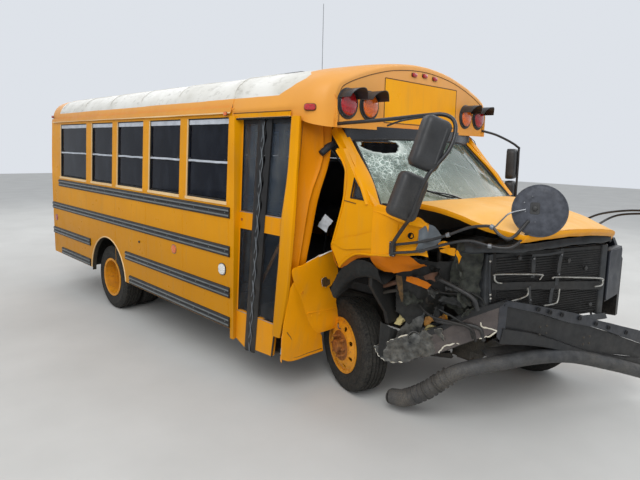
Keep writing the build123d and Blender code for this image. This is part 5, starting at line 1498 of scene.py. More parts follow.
def make_air_dam():
    """Loose air dam: ribbed torn end, then a smooth tube section with a trailing lip."""
    form = Form("torn_air_dam", "bus", "bumper_valance")
    rows = (
        (-645, -3790, 105, 60), (-630, -3900, 130, 66), (-600, -4060, 240, 60),
        (-530, -4230, 400, 56), (-380, -4420, 480, 54), (-60, -4590, 495, 54),
        (240, -4715, 455, 54), (640, -4890, 330, 54), (960, -5030, 215, 54),
    )
    middle = [row[:3] for row in rows]
    form.tube(middle, [row[3] - 3 for row in rows], SCUFFED, 20, 8)
    tip = aim((-645, -3782, 104), (0.1, 0.98, -0.1))
    form.turned([(-4, 56), (6, 52), (16, 40), (20, 20)], SCUFFED, tip, 20)
    path = flow(middle[:5], 12)
    for k in range(13):
        here, ahead = (path[int(start + k / 12 * 20)] for start in (13, 15))
        form.turned([(-5, 60), (-3, 65), (3, 65), (5, 60)], SCUFFED, aim(here, ahead - here), 20)
    form.sheet([shifted(middle[4:], 0, 40, 30), shifted(middle[4:], 30, 110, 62)], SCUFFED, 6, refine=5,
               crumple=((200, 10),), rag=4, seed=24.0)
    form.finish(45)


def make_debris():
    """Torn liner, hoses, harness, broken panel pieces and engine parts behind the lost fender."""
    form = Form("crushed_engine_bay", "bus")
    liner = [
        [(-800, -3900, 1210), (-700, -4000, 1180), (-600, -4080, 1150), (-480, -4200, 1180)],
        [(-780, -3880, 1060), (-690, -3960, 1010), (-590, -4040, 960), (-470, -4150, 960)],
        [(-740, -3860, 900), (-660, -3900, 840), (-580, -3960, 770), (-480, -4030, 740)],
        [(-700, -3850, 760), (-640, -3870, 700), (-570, -3900, 640), (-480, -3940, 600)],
    ]
    form.sheet(liner, LINER, 4, refine=8, crumple=((170, 40), (60, 14), (24, 4)), rag=14, seed=30.0)
    apron = [
        [(-540, -4200, 1300), (-510, -4280, 1300), (-480, -4350, 1280)],
        [(-570, -4170, 1120), (-520, -4260, 1110), (-470, -4340, 1100)],
        [(-540, -4150, 960), (-500, -4250, 930), (-440, -4330, 940)],
        [(-500, -4110, 840), (-460, -4200, 800), (-410, -4290, 800)],
    ]
    form.sheet(apron, OLIVE_GREY, 4, refine=8, crumple=((110, 26), (36, 12), (14, 4)), rag=12, seed=31.0)
    for index in range(9):
        low = 700 + index * 52
        side = -470 - (index % 4) * 55
        start = (side, -3960 - (index % 3) * 70, low)
        bend = (side - 60 + index * 9, -4110, low - 60 + (index % 3) * 50)
        end = (side + 40, -4290 - (index % 2) * 50, low + 30 - (index % 4) * 40)
        form.tube([start, bend, end, (end[0] + 30, end[1] - 40, end[2] - 90)], (9, 14, 7)[index % 3],
                  (RUBBER, PLASTIC, LINER)[index % 3], 10, 6)
    foam = (
        (((-621, -3780, 653), (-609, -3813, 723), (-594, -3852, 793)),
         ((-605, -3822, 647), (-593, -3855, 717), (-579, -3893, 787)), PALE_SHARD),
        (((-530, -3969, 695), (-521, -3993, 744), (-477, -4112, 769)),
         ((-528, -3973, 665), (-506, -4035, 711), (-478, -4110, 735)), AMBER_SHARD),
        (((-529, -3972, 644), (-517, -4003, 681), (-498, -4054, 690)),
         ((-532, -3968, 610), (-517, -4003, 640), (-500, -4050, 656)), PALE_SHARD),
    )
    for index, (upper, lower, look) in enumerate(foam):
        for deep in (0, 24):
            rows = [shifted(row, deep - 14, 0, 0) for row in (upper, lower)]
            form.sheet(rows, look, 12, PALE_SHARD, 7, ((50, 16), (18, 9)), rag=11, seed=40.0 + index + deep)
    shards = (
        ((-560, -3900, 720), 90, 60, SCRAPED_GREY, 43), ((-700, -3960, 900), 170, 90, OLIVE_GREY, 50),
        ((-640, -4090, 1090), 150, 80, LINER, 51), ((-560, -4240, 1120), 120, 120, OLIVE_GREY, 52),
        ((-540, -4260, 960), 120, 150, OLIVE_GREY, 53), ((-530, -4300, 850), 110, 100, OLIVE_GREY, 54),
        ((-600, -4120, 830), 130, 80, LINER, 44), ((-560, -4180, 900), 150, 60, LINER, 45),
        ((-640, -4080, 960), 120, 70, SCRAPED_GREY, 46), ((-470, -4100, 760), 110, 26, TORN, 47),
        ((-610, -4210, 1010), 90, 60, LINER, 48), ((-700, -4020, 1040), 120, 50, LINER, 49),
    )
    for middle, wide, high, look, seed in shards:
        turn = wander(middle, 90, seed).normalized()
        across = turn.cross(Vector((0, 0, 1))).normalized()
        up = across.cross(turn)
        halves = (-0.5, 0, 0.5)
        grid = [[Vector(middle) + across * wide * u + up * high * v + turn * 14 * u * v for u in halves]
                for v in halves]
        form.sheet(grid, look, 3, refine=7, crumple=((60, 24), (24, 10)), rag=14, seed=seed)
    shield = [
        [(-748, -3740, 680), (-690, -3770, 645), (-630, -3800, 610)],
        [(-740, -3715, 430), (-690, -3745, 410), (-640, -3775, 390)],
    ]
    form.sheet(shield, LINER, 4, refine=7, crumple=((90, 20), (30, 6)), rag=8, seed=33.0)
    form.turned([(-70, 60), (-60, 68), (60, 68), (70, 60)], IRON,
                aim((-520, -3960, 900), (0.2, 1, 0.1)), 24)
    form.turned([(-14, 78), (-8, 84), (8, 84), (14, 78), (20, 30)], STEEL,
                aim((-430, -4255, 950), (0, -1, 0)), 32)
    form.block((-420, -4200, 1165), (180, -3700, 1240), LINER, 22)
    for k in range(4):
        form.tube([(-330, -3760 - k * 110, 1200), (-420, -3770 - k * 110, 1180),
                   (-440, -3790 - k * 110, 1080)], 20, IRON, 10, 5)
    form.block((260, -4180, 1020), (560, -3900, 1180), PLASTIC, 24)
    form.tube([(-250, -4240, 1120), (-300, -4330, 1170), (-420, -4330, 1200), (-440, -4370, 1190)], 26,
              RUBBER, 12, 7)
    form.tube([(200, -4240, 760), (280, -4420, 780), (420, -4560, 790), (480, -4610, 790)], 26,
              RUBBER, 12, 7)
    form.finish(50)


make_radiator()
make_bumper()
make_air_dam()
make_debris()


# Body sides: sill, head and middle bar of the windows, then windows by rear and front edge
SILL_Z, WINDOW_HEAD_Z, MID_BAR_Z = 1455, 2124, 1768
WINDOWS = ((1221, 355), (205, -368), (-485, -1079), (-1203, -1784), (-1902, -2517))
# Rub rails by top, rear end and front end
RUB_RAILS = ((1418, 1260, -2569), (1106, 1523, -2569), (768, 1523, 275), (768, -672, -2569),
             (520, 1237, 286), (520, -756, -2569))


def wall_x(z):
    """Half width of the body at a height: upright to the belt, then leaning in."""
    return HALF_W - (HALF_W - HEAD_HALF_W) * max(z - BELT_Z, 0) / (GUTTER_Z - BELT_Z)


def on_wall(side, y, z, out=0.0):
    """Point on the outside of a window wall."""
    return (side * (wall_x(z) + out), y, z)


def wall_strip(form, side, front, rear, low, high, near, far, look, steps=1, wave=0.0, seed=0.0):
    """Bar lying on the leaning wall between two depths from its outside."""
    rings = []
    for k in range(steps + 1):
        y = front + (rear - front) * k / steps
        dent = wander((side * 100, y, low), 130, seed).z * wave if 0 < k < steps else 0
        rings.append([on_wall(side, y, low + dent, near), on_wall(side, y, high + dent, near),
                      on_wall(side, y, high + dent - 1.5, far), on_wall(side, y, low + dent + 1.5, far)])
    form.loft(rings, look)


def make_windows():
    """Split sash windows: black channels, pale head rails, dented aluminium mid bars and a sill strip."""
    sashes = Form("split_sash_windows", "bus", "window_sashes")
    for side in (-1, 1):
        for index, (rear, front) in enumerate(WINDOWS):
            seed = index * 3.1 + side
            for low, high in ((front, front + 10), (rear - 18, rear - 9)):
                wall_strip(sashes, side, low, high, SILL_Z, WINDOW_HEAD_Z, -30, -8, RUBBER)
            wall_strip(sashes, side, rear - 9, rear, SILL_Z, WINDOW_HEAD_Z, -30, 1, SILL_PAINT)
            wall_strip(sashes, side, front + 6, rear - 6, WINDOW_HEAD_Z - 52, WINDOW_HEAD_Z - 10, -30, -10,
                       PALE_SASH, 8, 2, seed)
            wall_strip(sashes, side, front + 6, rear - 6, WINDOW_HEAD_Z - 12, WINDOW_HEAD_Z,
                       -38, -8, RUBBER)
            wall_strip(sashes, side, front + 6, rear - 6, MID_BAR_Z - 9, MID_BAR_Z + 11, -34, -8,
                       PALE_SASH, 12, 5, seed)
            wall_strip(sashes, side, front + 6, rear - 6, MID_BAR_Z - 14, MID_BAR_Z - 8, -30, -9, RUBBER,
                       12, 5, seed)
            wall_strip(sashes, side, front + 6, rear - 6, SILL_Z, SILL_Z + 20, -38, -16, RUBBER)
            # The sill strip's pale colour is partly a painted highlight on its top
            wall_strip(sashes, side, front - 6, rear + 6, SILL_Z - 22, SILL_Z + 5, -6, 7,
                       SILL_PAINT, 8, 2, seed)
            for y in (front + 40, rear - 40):
                sashes.block((-9, -8, -7), (9, 8, 7), PLASTIC, 2,
                             Matrix.Translation(on_wall(side, y, MID_BAR_Z + 18, -12)))
    sashes.finish()


def on_arch(radius, degrees, middle=REAR_ARCH_Y):
    """Y and Z on a wheel arch, the angle counted from its rear foot."""
    turn = math.radians(degrees)
    return (middle + radius * math.cos(turn), ARCH_Z + radius * math.sin(turn))


# Dark lining of a rear wheel house: rows of Y and Z
HOUSE = ((-592, 425), (-592, 600), (-560, 752), (-440, 858), (-130, 889), (180, 858), (304, 752),
         (340, 600), (340, 425))


def make_side_trim():
    """Drip rails, rail crowns, panel seams, skirt edges, arch lips and the rivet rows on both sides."""
    form = Form("side_trim_and_rivets", "bus")
    tops = [row[0] for row in RUB_RAILS]
    for side in (-1, 1):
        # The drip rail's pale colour is partly a painted highlight on its lit top
        gutter = [[on_wall(side, y, z + 6 * wander((0, y, 50), 400).z, out)
                   for y in range(-2560, 1460, 250)]
                  for z, out in ((2174, 2), (2166, 18), (2150, 19))]
        form.sheet(gutter, SILL_PAINT, 3 * side, refine=2)
        for top, rear, front in RUB_RAILS:
            x = side * (HALF_W + 13)
            # Light strips on the rib crowns, and the light rivet heads below, are a painted highlight
            for low in (top - 73, top - 33):
                form.block((x - 2, front + 3, low), (x + 2, rear - 3, low + 14), RAIL_HIGHLIGHT, 1.5)
            count = int((rear - front) / 230)
            spots = [(side * (HALF_W + 7), front + 60 + k * (rear - front - 120) / count, top - 45)
                     for k in range(count + 1)]
            form.bolts([(spot, (side, 0, 0)) for spot in spots], 6, 4, RAIL_HIGHLIGHT, 8)
        for rear, front in WINDOWS:
            for y in (rear + 34, front - 34):
                form.bolts([(on_wall(side, y, z, 0), (side, 0, 0.03)) for z in range(1490, 2120, 105)],
                           *SMALL_RIVET)
        for y in (1440, 280, -420, -1140, -1840, -2545):
            if y != 280:
                form.block((side * HALF_W - 1, y - 2, 440), (side * HALF_W + 1, y + 2, 1400), YELLOW, 0.5)
            heights = [z for z in range(560, 1400, 62) if all(not top - 96 < z < top + 6 for top in tops)]
            clear = [z for z in heights if y != 280 or z >= 860]
            form.bolts([((side * HALF_W, y + 14, z), (side, 0, 0)) for z in clear], *SMALL_RIVET)
        form.bolts([((side * HALF_W, y, 1432), (side, 0, 0)) for y in range(-2540, 1500, 90)], *SMALL_RIVET)
        form.bolts([(on_wall(side, y, 2142, 0), (side, 0, 0)) for y in range(-2540, 1450, 120)],
                   *SMALL_RIVET)
        wall = [[(side * 652, y, z) for y, z in HOUSE], [(side * 652, y, 450) for y, z in HOUSE]]
        form.sheet([[(side * x, y, z) for y, z in HOUSE] for x in (1171, 910, 652)], ARCH_BLACK,
                   3 * side, refine=2)
        form.sheet(wall, ARCH_BLACK, 3 * side)
        edge = [on_arch(453, 6 * k) for k in range(31)]
        form.sheet([[(side * x, y, z) for y, z in edge] for x in (1172, 1215)], ARCH_BLACK, 2 * side)
        # The arch lip's pale colour is partly a painted highlight
        lip = [(side * (HALF_W + 2), *on_arch(459, 5 + 170 * k / 18)) for k in range(19)]
        form.tube(lip, 7, SILL_PAINT, 8, 2)
        for start, end in ((-2560, -662), (262, 1515)):
            form.tube([(side * 1216, start, 432), (side * 1216, end, 432)], 7, YELLOW, 8, 1)
    form.block((-1233, -1010, 905), (-HALF_W, -990, 925), PLASTIC, 4)
    form.finish()


# Entry door leaves, drawn in the plane of the leaning leaves
def leaf(y, z, depth=0.0):
    """Point on the leaning plane of the leaves; depth runs inward."""
    return (-1182 + 30 * (z - 300) / 1800 + depth, y, z)


def leaf_plate(form, corners, near, far, look):
    bevel = 2.0
    rows = ((far, corners), (near + bevel, corners), (near, inset(corners, bevel)))
    form.loft([[leaf(*p, depth) for p in row] for depth, row in rows], look)


def leaf_border(form, corners, width, near, far, look):
    inner = inset(corners, width)
    rows = ((far, corners), (near, corners), (near, inner), (far, inner))
    form.loft([[leaf(*p, depth) for p in row] for depth, row in rows], look, True)


# Edges of the two leaves, each from its foot to its head
REAR_EDGE = ((-2598, 350), (-2642, 2104))
REAR_SEAM = ((-2747, 292), (-2872, 2104))
FRONT_SEAM = ((-2812, 318), (-2962, 2100))
FRONT_EDGE = ((-3050, 330), (-3282, 2098))
SEAL_LOW, SEAL_HIGH = 296, 2100


def between(edge, z, shift=0.0):
    """Point of a leaf's edge at a height, moved along the bus."""
    (y0, z0), (y1, z1) = edge
    return (y0 + (y1 - y0) * (z - z0) / (z1 - z0) + shift, z)


def make_entry_door():
    form = Form("entry_door_dressed", "bus", "entry_door_leaves", "entry_door_glass", "entry_door_seals")
    for rear, front in ((REAR_EDGE, REAR_SEAM), (FRONT_SEAM, FRONT_EDGE)):
        for low, high in ((292, 590), (1258, 1396)):
            corners = [between(rear, max(low, rear[0][1])), between(front, max(low, front[0][1])),
                       between(front, high), between(rear, high)]
            leaf_plate(form, corners, -2, 30, DOOR_PAINT)
        leaf_plate(form, [between(rear, 2070), between(front, 2070), between(front, 2100),
                          between(rear, 2100)], 0, 30, RUBBER)
        for low, high in ((585, 1262), (1392, 2075)):
            corners = [between(rear, low, -2), between(front, low, 2), between(front, high, 2),
                       between(rear, high, -2)]
            leaf_border(form, corners, 15, 2, 30, RUBBER)
            leaf_plate(form, inset(corners, 12), 12, 18, DOOR_GLASS)
            form.tube([leaf(*p) for p in corners[:2]], 4, SASH, 6, 1)
        spot = between(rear, 1330, -34) if rear is REAR_EDGE else between(front, 1322, 34)
        form.bolts([(leaf(*spot, -2), (-1, 0, 0))], 11, 5, RUSTY, 12)
    for edge, low, high, wide, near, far, look in ((REAR_EDGE, 350, 2100, -13, -1, 32, DOOR_PAINT),
                                                   (FRONT_SEAM, 340, 2098, -40, 2, 26, RUBBER)):
        corners = [between(edge, low, 4), between(edge, low, wide), between(edge, high, wide),
                   between(edge, high, 4)]
        leaf_plate(form, corners, near, far, look)
    steps = 46
    for seam, start, width, seed in ((REAR_SEAM, 16, -76, 50), (FRONT_SEAM, -46, 60, 51)):
        rows = []
        for lane in (0, 0.35, 0.7, 1.0):
            row = []
            for k in range(steps + 1):
                z = SEAL_LOW + (SEAL_HIGH - SEAL_LOW) * k / steps
                wave = math.sin(z / 27 + seed)
                sway = 8 * wave + 5 * wander((0, 0, z), 80, seed).x
                depth = -6 - 12 * math.sin(lane * 3.1) - (5 * wave if lane > 0.5 else 0)
                row.append(leaf(*between(seam, z,
                                         start + width * lane + (sway if lane == 1.0 else 0)), depth))
            rows.append(row)
        form.sheet(rows, RUBBER, 5, refine=2)
    # Wavy light ridges on the seal: painted highlight
    for shift, seed in ((-47, 50), (-64, 52.2)):
        ridge = [leaf(*between(REAR_SEAM, z, shift + 8 * math.sin(z / 27 + seed)), -20)
                 for z in range(300, 2100, 18)]
        form.tube(ridge, 3.5, SEAL_HIGHLIGHT, 6, 1)
    edge = [leaf(*between(FRONT_EDGE, 330 + k * 177, -6), -3) for k in range(11)]
    form.tube([(x, y + 2 * math.sin(z), z) for x, y, z in edge], 7, RUBBER, 8, 4)
    form.tube([(-1085, -2744, 739), (-1085, -2988, 1122), (-1080, -3040, 1205)], 14, BRASS_BAR, 10, 3)
    form.tube([(-1085, -2680, 640), (-1085, -2700, 1200), (-1070, -2720, 1700)], 13, STEEL, 10, 5)
    form.finish()


# Door post: outer face x, rear edge, front edge, height
POST = (
    (-1208, -3108, -3168, 520), (-1210, -3122, -3198, 640), (-1212, -3150, -3250, 870),
    (-1212, -3175, -3278, 1112), (-1212, -3195, -3299, 1355), (-1211, -3222, -3314, 1533),
    (-1210, -3262, -3330, 1800), (-1208, -3285, -3342, 2110),
)
# Bulkhead face beside the lost fender: corner, groove, fold and inner edge, each from top to bottom
BULKHEAD = (
    ((-1200, -3330, 2100), (-1204, -3322, 1825), (-1206, -3305, 1525), (-1206, -3268, 1050),
     (-1206, -3240, 840)),
    ((-1125, -3292, 2100), (-1140, -3282, 1825), (-1164, -3268, 1526), (-1174, -3240, 1039),
     (-1176, -3232, 840)),
    ((-1010, -3328, 2100), (-1010, -3326, 1825), (-1098, -3300, 1525), (-1132, -3243, 1035),
     (-1142, -3236, 840)),
    ((-990, -3352, 2100), (-984, -3350, 1822), (-1079, -3322, 1525), (-1118, -3262, 1033),
     (-1124, -3250, 840)),
    ((-972, -3338, 2100), (-966, -3338, 1822), (-1060, -3308, 1525), (-1098, -3250, 1033),
     (-1100, -3240, 840)),
    ((-918, -3372, 2100), (-928, -3366, 1823), (-1006, -3330, 1522), (-1053, -3270, 1062),
     (-1058, -3256, 840)),
    ((-910, -3340, 2100), (-920, -3336, 1823), (-998, -3300, 1522), (-1045, -3242, 1062),
     (-1050, -3230, 840)),
)


def make_portal_trim():
    """Header ledge over the door, folded bulkhead edge, post rivets and the broken trim inside."""
    form = Form("portal_trim", "bus", "bulkhead_right")
    # Black strip over the leaves: painted shadow under the header
    form.block((-1206, -3235, 2098), (-1192, -2600, 2112), HOLE_BLACK, 2)
    form.block((-1199, -3245, 2112), (-1189, -2590, 2148), YELLOW, 3)
    # Dark line along the ledge: painted shadow
    form.block((-1202, -3245, 2146), (-1190, -2590, 2152), GROOVE, 1)
    form.block((-1201, -3245, 2110), (-1190, -2590, 2114), SILL_PAINT, 1)
    form.bolts([((-1199, y, 2136), (-1, 0, 0)) for y in range(-3230, -2600, 70)], 4, 3, YELLOW, 8)
    rear_post = [[(-HALF_W, -2569, z), (-HALF_W, -2612 - (z - 345) * 0.009, z), (x, y, z),
                  (x + 6, -2572, z), (-1180, -2569, z)]
                 for z, x, y in ((345, -1182, -2600), (1240, -1166, -2622), (2128, -1151, -2645))]
    form.loft(rear_post, YELLOW)
    form.bolts([((-HALF_W, -2585 - (z - 345) * 0.01, z), (-1, 0, 0))
                for z in range(420, 2000, 300)], *RIVET)
    post = [[(x + 54, rear + 4, z), (x, rear, z), (x - 3, (rear + front) / 2, z), (x, front, z),
             (x + 24, front + 18, z)]
            for x, rear, front, z in POST]
    form.sheet(post, YELLOW, -12, refine=4, crumple=((300, 3),), seed=59.0)
    form.bolts([((x - 3, front + 26, z), (-1, 0, 0)) for x, rear, front, z in POST[2:]], *RIVET)
    # The bulkhead face is in the darker enamel of painted shade
    form.sheet(BULKHEAD, SHADED_BULKHEAD, -4, refine=4, crumple=((260, 5),), seed=60.0)
    form.tube([(x, y - 3, z) for x, y, z in BULKHEAD[1]][:4], 3, GROOVE, 6, 4)
    scraps = (((-1150, -3118, 470), CLEAR_GREY), ((-1168, -3140, 420), TORN), ((-1130, -3105, 400), LINER))
    for index, ((x, y, z), look) in enumerate(scraps):
        near = [(x, y, z - 110), (x + 6, y - 6, z), (x, y + 4, z + 130)]
        far = [(x, y - 16, z - 110), (x + 6, y - 26, z), (x, y - 12, z + 130)]
        form.sheet([near, far], look, 3, refine=5, crumple=((50, 8),), rag=6, seed=61.0 + index)
    paper = [[(-905, -3313, 1422), (-900, -3390, 1378)], [(-912, -3262, 1350), (-904, -3350, 1330)],
             [(-905, -3246, 1325), (-900, -3330, 1285)]]
    form.sheet(paper, PAPER, 2, refine=5, crumple=((40, 8),), rag=6, seed=61.0)
    form.tube([(-1000, -3352, 1862), (-940, -3356, 1905), (-885, -3362, 1946)], (24, 27, 25),
              BENT_GREY, 14, 2)
    form.tube([(-1002, -3354, 1860), (-996, -3356, 1868)], 18, HOLE_BLACK, 12, 1)
    form.tube([(-930, -3364, 1900), (-850, -3368, 1835), (-774, -3366, 1762)], (8, 6, 5), BENT_GREY, 8, 3)
    form.finish()


make_windows()
make_side_trim()
make_entry_door()
make_portal_trim()


# Windshield pillar from its outer edge over the face to the gasket, each from top to bottom
PILLAR = (
    ((918, -3340, 2040), (950, -3508, 1870), (984, -3680, 1696), (1004, -3775, 1545)),
    ((900, -3356, 2040), (935, -3528, 1870), (970, -3701, 1696), (998, -3789, 1540)),
    ((820, -3384, 2046), (860, -3554, 1872), (900, -3720, 1696), (938, -3826, 1539)),
    ((800, -3372, 2046), (840, -3542, 1872), (880, -3708, 1696), (918, -3814, 1539)),
)


def make_cab_trim():
    """Quarter window glass and gasket, panel folds and the torn cab side's edge."""
    form = Form("cab_side_trim", "bus")
    triangle = [(-3668, 1716), (-3636, 1572), (-3775, 1564)]
    place = outboard(-1, -1000, 0, 0)
    form.frame(rounded(triangle, 8, 3), 9, -4, 4, RUBBER, place)
    form.slab(rounded(triangle, 6, 3), -24, -18, DOOR_GLASS, place, 1)
    form.tube([(-1002, -3500, 1888), (-1003, -3590, 1760), (-1003, -3580, 1560), (-1002, -3480, 1232)], 7,
              YELLOW, 8, 5)
    form.tube([(-1001, -3585, 1552), (-1003, -3690, 1540)], 3, GROOVE, 6, 4)
    form.tube([(-1006, -3561, 1092), (-1006, -3604, 1137), (-1006, -3672, 1188), (-1006, -3739, 1211),
               (-1006, -3837, 1219), (-1004, -3995, 1239)], 9, YELLOW, 10, 6)
    # The lower lip's dark orange is painted shade
    lower = [[(-1003, -3475, 1222), (-1003, -3545, 1102), (-1003, -3698, 1190), (-1003, -3838, 1228)],
             [(-985, -3480, 1205), (-985, -3545, 1080), (-980, -3698, 1165), (-985, -3838, 1205)]]
    form.sheet(lower, SHADED_ORANGE, 3, refine=5, crumple=((90, 6),), rag=3, seed=62.0)
    bulge = [[(-1003, -3480, 1250), (-1006, -3600, 1300), (-1010, -3720, 1330), (-1006, -3838, 1370)],
             [(-1003, -3500, 1240), (-1004, -3600, 1220), (-1006, -3720, 1240), (-1004, -3838, 1260)]]
    form.sheet(bulge, YELLOW, 3, refine=5, crumple=((160, 5),), seed=63.0)
    for side in (-1, 1):
        rows = [[(side * x, y, z) for x, y, z in row] for row in PILLAR]
        form.sheet(rows, YELLOW, 9 * side, refine=5, crumple=((300, 3),), seed=64.0)
    form.finish()


make_cab_trim()


# Rear end, left side and roof
def rear_place(x, z):
    """Placement on the rear wall that faces rearward."""
    return aim((x, REAR_Y, z), (0, 1, 0))


def make_rear_end():
    form = Form("rear_end_trim", "bus")
    for side in (-1, 1):
        form.frame(box_outline(652, 622, 46, 5), 30, -4, 9, RUBBER, rear_place(side * 775, 1770))
        form.frame(box_outline(628, 598, 36, 5), 5, 8, 11, STEEL, rear_place(side * 775, 1770))
        form.tube([(side * 1214, 1519, 440), (side * 1214, 1519, 1446), (side * 1186, 1519, 2180)], 8,
                  YELLOW, 8, 6)
        form.bolts([((side * 1180, REAR_Y, z), (0, 1, 0)) for z in range(500, 1440, 85)], *RIVET)
        spots = [(x, z) for z in range(1480, 2140, 85) for x in (1130, 425)]
        form.bolts([((side * x, REAR_Y, z), (0, 1, 0)) for x, z in spots], *RIVET)
        for z in (1449, 868):
            form.block((side * 790 - 400, REAR_Y - 1, z), (side * 790 + 400, REAR_Y + 1.5, z + 3),
                       GROOVE, 0.5)
        spots = [(x, z) for x in range(430, 1180, 90) for z in (1438, 882)]
        form.bolts([((side * x, REAR_Y, z), (0, 1, 0)) for x, z in spots], *RIVET)
    form.tube([(-365, 1530, 2172), (0, 1532, 2178), (365, 1530, 2172)], 8, YELLOW, 8, 4)
    form.frame(box_outline(724, 1376, 10), 5, -2, 4, GROOVE, rear_place(0, 1475))
    form.slab(box_outline(310, 158, 12), 2, 6, PLATE_BLANK, rear_place(620, 780), 1)
    form.frame(box_outline(316, 164, 14), 9, 1, 9, STEEL, rear_place(620, 780))
    form.bolts([((620 + x, REAR_Y + 6, 780 + z), (0, 1, 0)) for x in (-90, 90) for z in (-60, 60)],
               7, 4, STEEL)
    form.block((590, REAR_Y, 872), (650, REAR_Y + 26, 896), PLASTIC, 6)
    form.finish()
    bumper = Form("rear_bumper_channel", "bus", "rear_bumper")
    middle = 580
    upper = ((1527, 102), (1530, 110), (1612, 110), (1629, 104), (1634, 88), (1634, 20), (1631, 0))
    profile = upper + tuple((y, -rise) for y, rise in upper[-2::-1])
    ends = [(-1150, 26, 0.06), (-1138, 8, 0.02), (-1100, 0, 0), (0, 0, 0)]
    ends += [(-x, inward, pinch) for x, inward, pinch in ends[2::-1]]
    rows = [[(x, y - inward, middle + rise * (1 - pinch)) for y, rise in profile]
            for x, inward, pinch in ends]
    bumper.sheet(rows, SCRAPED, -7, refine=2, crumple=((400, 2),), seed=70.0)
    bumper.bolts([((x, 1632, z), (0, 1, 0)) for x in (-430, -360, 360, 430) for z in (530, 630)], 14,
                 10, IRON, 8)
    bumper.finish(35)


def make_rear_door():
    form = Form("emergency_door_trim", "emergency_door")
    for z, high in ((1770, 580), (1130, 400)):
        form.frame(box_outline(556, high + 26, 40, 5), 26, -4, 9, RUBBER, rear_place(0, z))
        form.frame(box_outline(534, high + 4, 32, 5), 4, 8, 11, STEEL, rear_place(0, z))
    form.frame(box_outline(676, 1326, 14), 3, -1, 2, GROOVE, rear_place(0, 1475))
    spots = [(x, z) for z in range(850, 2130, 80) for x in (-318, 318) if x < 0 or not 1330 < z < 1440]
    form.bolts([((x, REAR_Y, z), (0, 1, 0)) for x, z in spots], 4.5, 3, YELLOW, 8)
    form.slab(box_outline(120, 76, 12), 0, 5, STEEL, rear_place(270, 1385), 2)
    form.tube([(290, 1560, 1385), (230, 1564, 1385), (140, 1562, 1384), (122, 1556, 1380)],
              (12, 13, 12, 9), PLASTIC, 12, 4)
    form.turned([(0, 26), (20, 24), (30, 16), (36, 14)], STEEL, rear_place(286, 1385), 24)
    heights = [z + rise for z in (1040, 1480, 1920) for rise in (-24, 0, 24)]
    form.bolts([((-333, REAR_Y + 6, z), (0, 1, 0)) for z in heights], 6, 4, STEEL, 8)
    form.finish()


def make_left_side():
    form = Form("left_side_trim", "bus")
    fuel = aim((HALF_W, 960, 950), (1, 0, 0))
    form.frame(box_outline(250, 250, 18), 4, -1, 3, GROOVE, fuel)
    form.slab(box_outline(240, 240, 16), 0, 3, YELLOW, fuel, 1.5)
    form.turned([(2, 16), (8, 15), (10, 10), (7, 8)], STEEL, aim((HALF_W, 1050, 950), (1, 0, 0)), 20)
    form.tube([(1223, 838, 860), (1223, 838, 1040)], 5, STEEL, 8, 1)
    seat_box = aim((HALF_W, -900, 640), (1, 0, 0))
    form.frame(box_outline(520, 150, 12), 3, -1, 2, GROOVE, seat_box)
    door_gap = [(-3706, 562), (-3706, 1506), (-3616, 1608), (-3436, 1998), (-3392, 2033), (-2708, 2033),
                (-2708, 562)]
    form.tube([(1000, y, z) for y, z in door_gap + door_gap[:1]], 3.5, HOLE_BLACK, 6, 1)
    form.block((930, -3640, 430), (1040, -2760, 462), PLASTIC, 8)
    for y in range(-3600, -2780, 60):
        form.block((950, y, 461), (1030, y + 22, 466), PLASTIC, 2)
    form.tube([(1002, *on_arch(474, 20 + 148 * k / 14, FRONT_ARCH_Y)) for k in range(15)], 9, PLASTIC, 8, 2)
    bucket = aim((782, -4790, 995), (0, -1, 0))
    form.slab(box_outline(318, 384, 34), -6, 8, NOSE_BLACK, bucket, 4)
    form.finish()
    door = Form("driver_door_trim", "cab_door")
    glass = [(-3640, 1480), (-3590, 1560), (-3400, 1960), (-2776, 1960), (-2776, 1480)]
    outside = outboard(1, 1000, 0, 0)
    door.frame(glass, 14, -10, 5, RUBBER, outside)
    door.slab(rounded(((-2916, 1292), (-2754, 1292), (-2754, 1346), (-2916, 1346)), 14, 3), 0, 5,
              PLASTIC, outside, 2)
    door.tube([(1010, -2905, 1318), (1030, -2890, 1318), (1034, -2830, 1318), (1028, -2772, 1318),
               (1008, -2765, 1318)], 9, PLASTIC, 10, 4)
    door.turned([(0, 12), (6, 12), (8, 9)], STEEL, aim((1001, -2800, 1250), (1, 0, 0)), 16)
    door.tube([(1001, -3660, 1420), (1003, -3200, 1412), (1001, -2740, 1418)], 3, YELLOW, 8, 6)
    door.tube([(1001, -3660, 760), (1001, -2740, 760)], 3, YELLOW, 8, 1)
    door.finish()


def make_stop_arm():
    form = Form("blank_stop_arm", "stop_arm_panel", "stop_arm")
    x, y, z = 1262, -2095, 1222
    place = outboard(1, x, y, z)
    octagon = [polar(240, math.radians(22.5 + 45 * k)).xy for k in range(8)]
    form.slab(octagon, -2, 2, SIGN_FACE, place, 0.8)
    for low, high in ((2, 2.8), (-2.8, -2)):
        form.frame(inset(octagon, 7), 15, low, high, SIGN_WHITE, place)
    for rise in (-165, 165):
        for out in (1, -1):
            lamp = aim((x + out * 2, y, z + rise), (out, 0, 0))
            form.turned([(0, 44), (5, 44), (7, 40)], PLASTIC, lamp, 28)
            form.turned([(4, 36), (9, 34), (13, 22), (14, 6)], RED_LENS, lamp, 28)
    form.turned([(-70, 8), (70, 8)], STEEL, aim((x, -2345, 1220), (0, 0, 1)), 16)
    hinge = rounded(((-2345, 1160), (-2245, 1160), (-2225, 1190), (-2225, 1250), (-2245, 1280),
                     (-2345, 1280)), 8, 3)
    form.slab(hinge, x - 1.5, x + 2.5, STEEL, outboard(1, 0, 0, 0), 1)
    form.bolts([((x + 2, -2262, z), (1, 0, 0)) for z in (1185, 1220, 1255)], 7, 4, STEEL)
    form.finish()


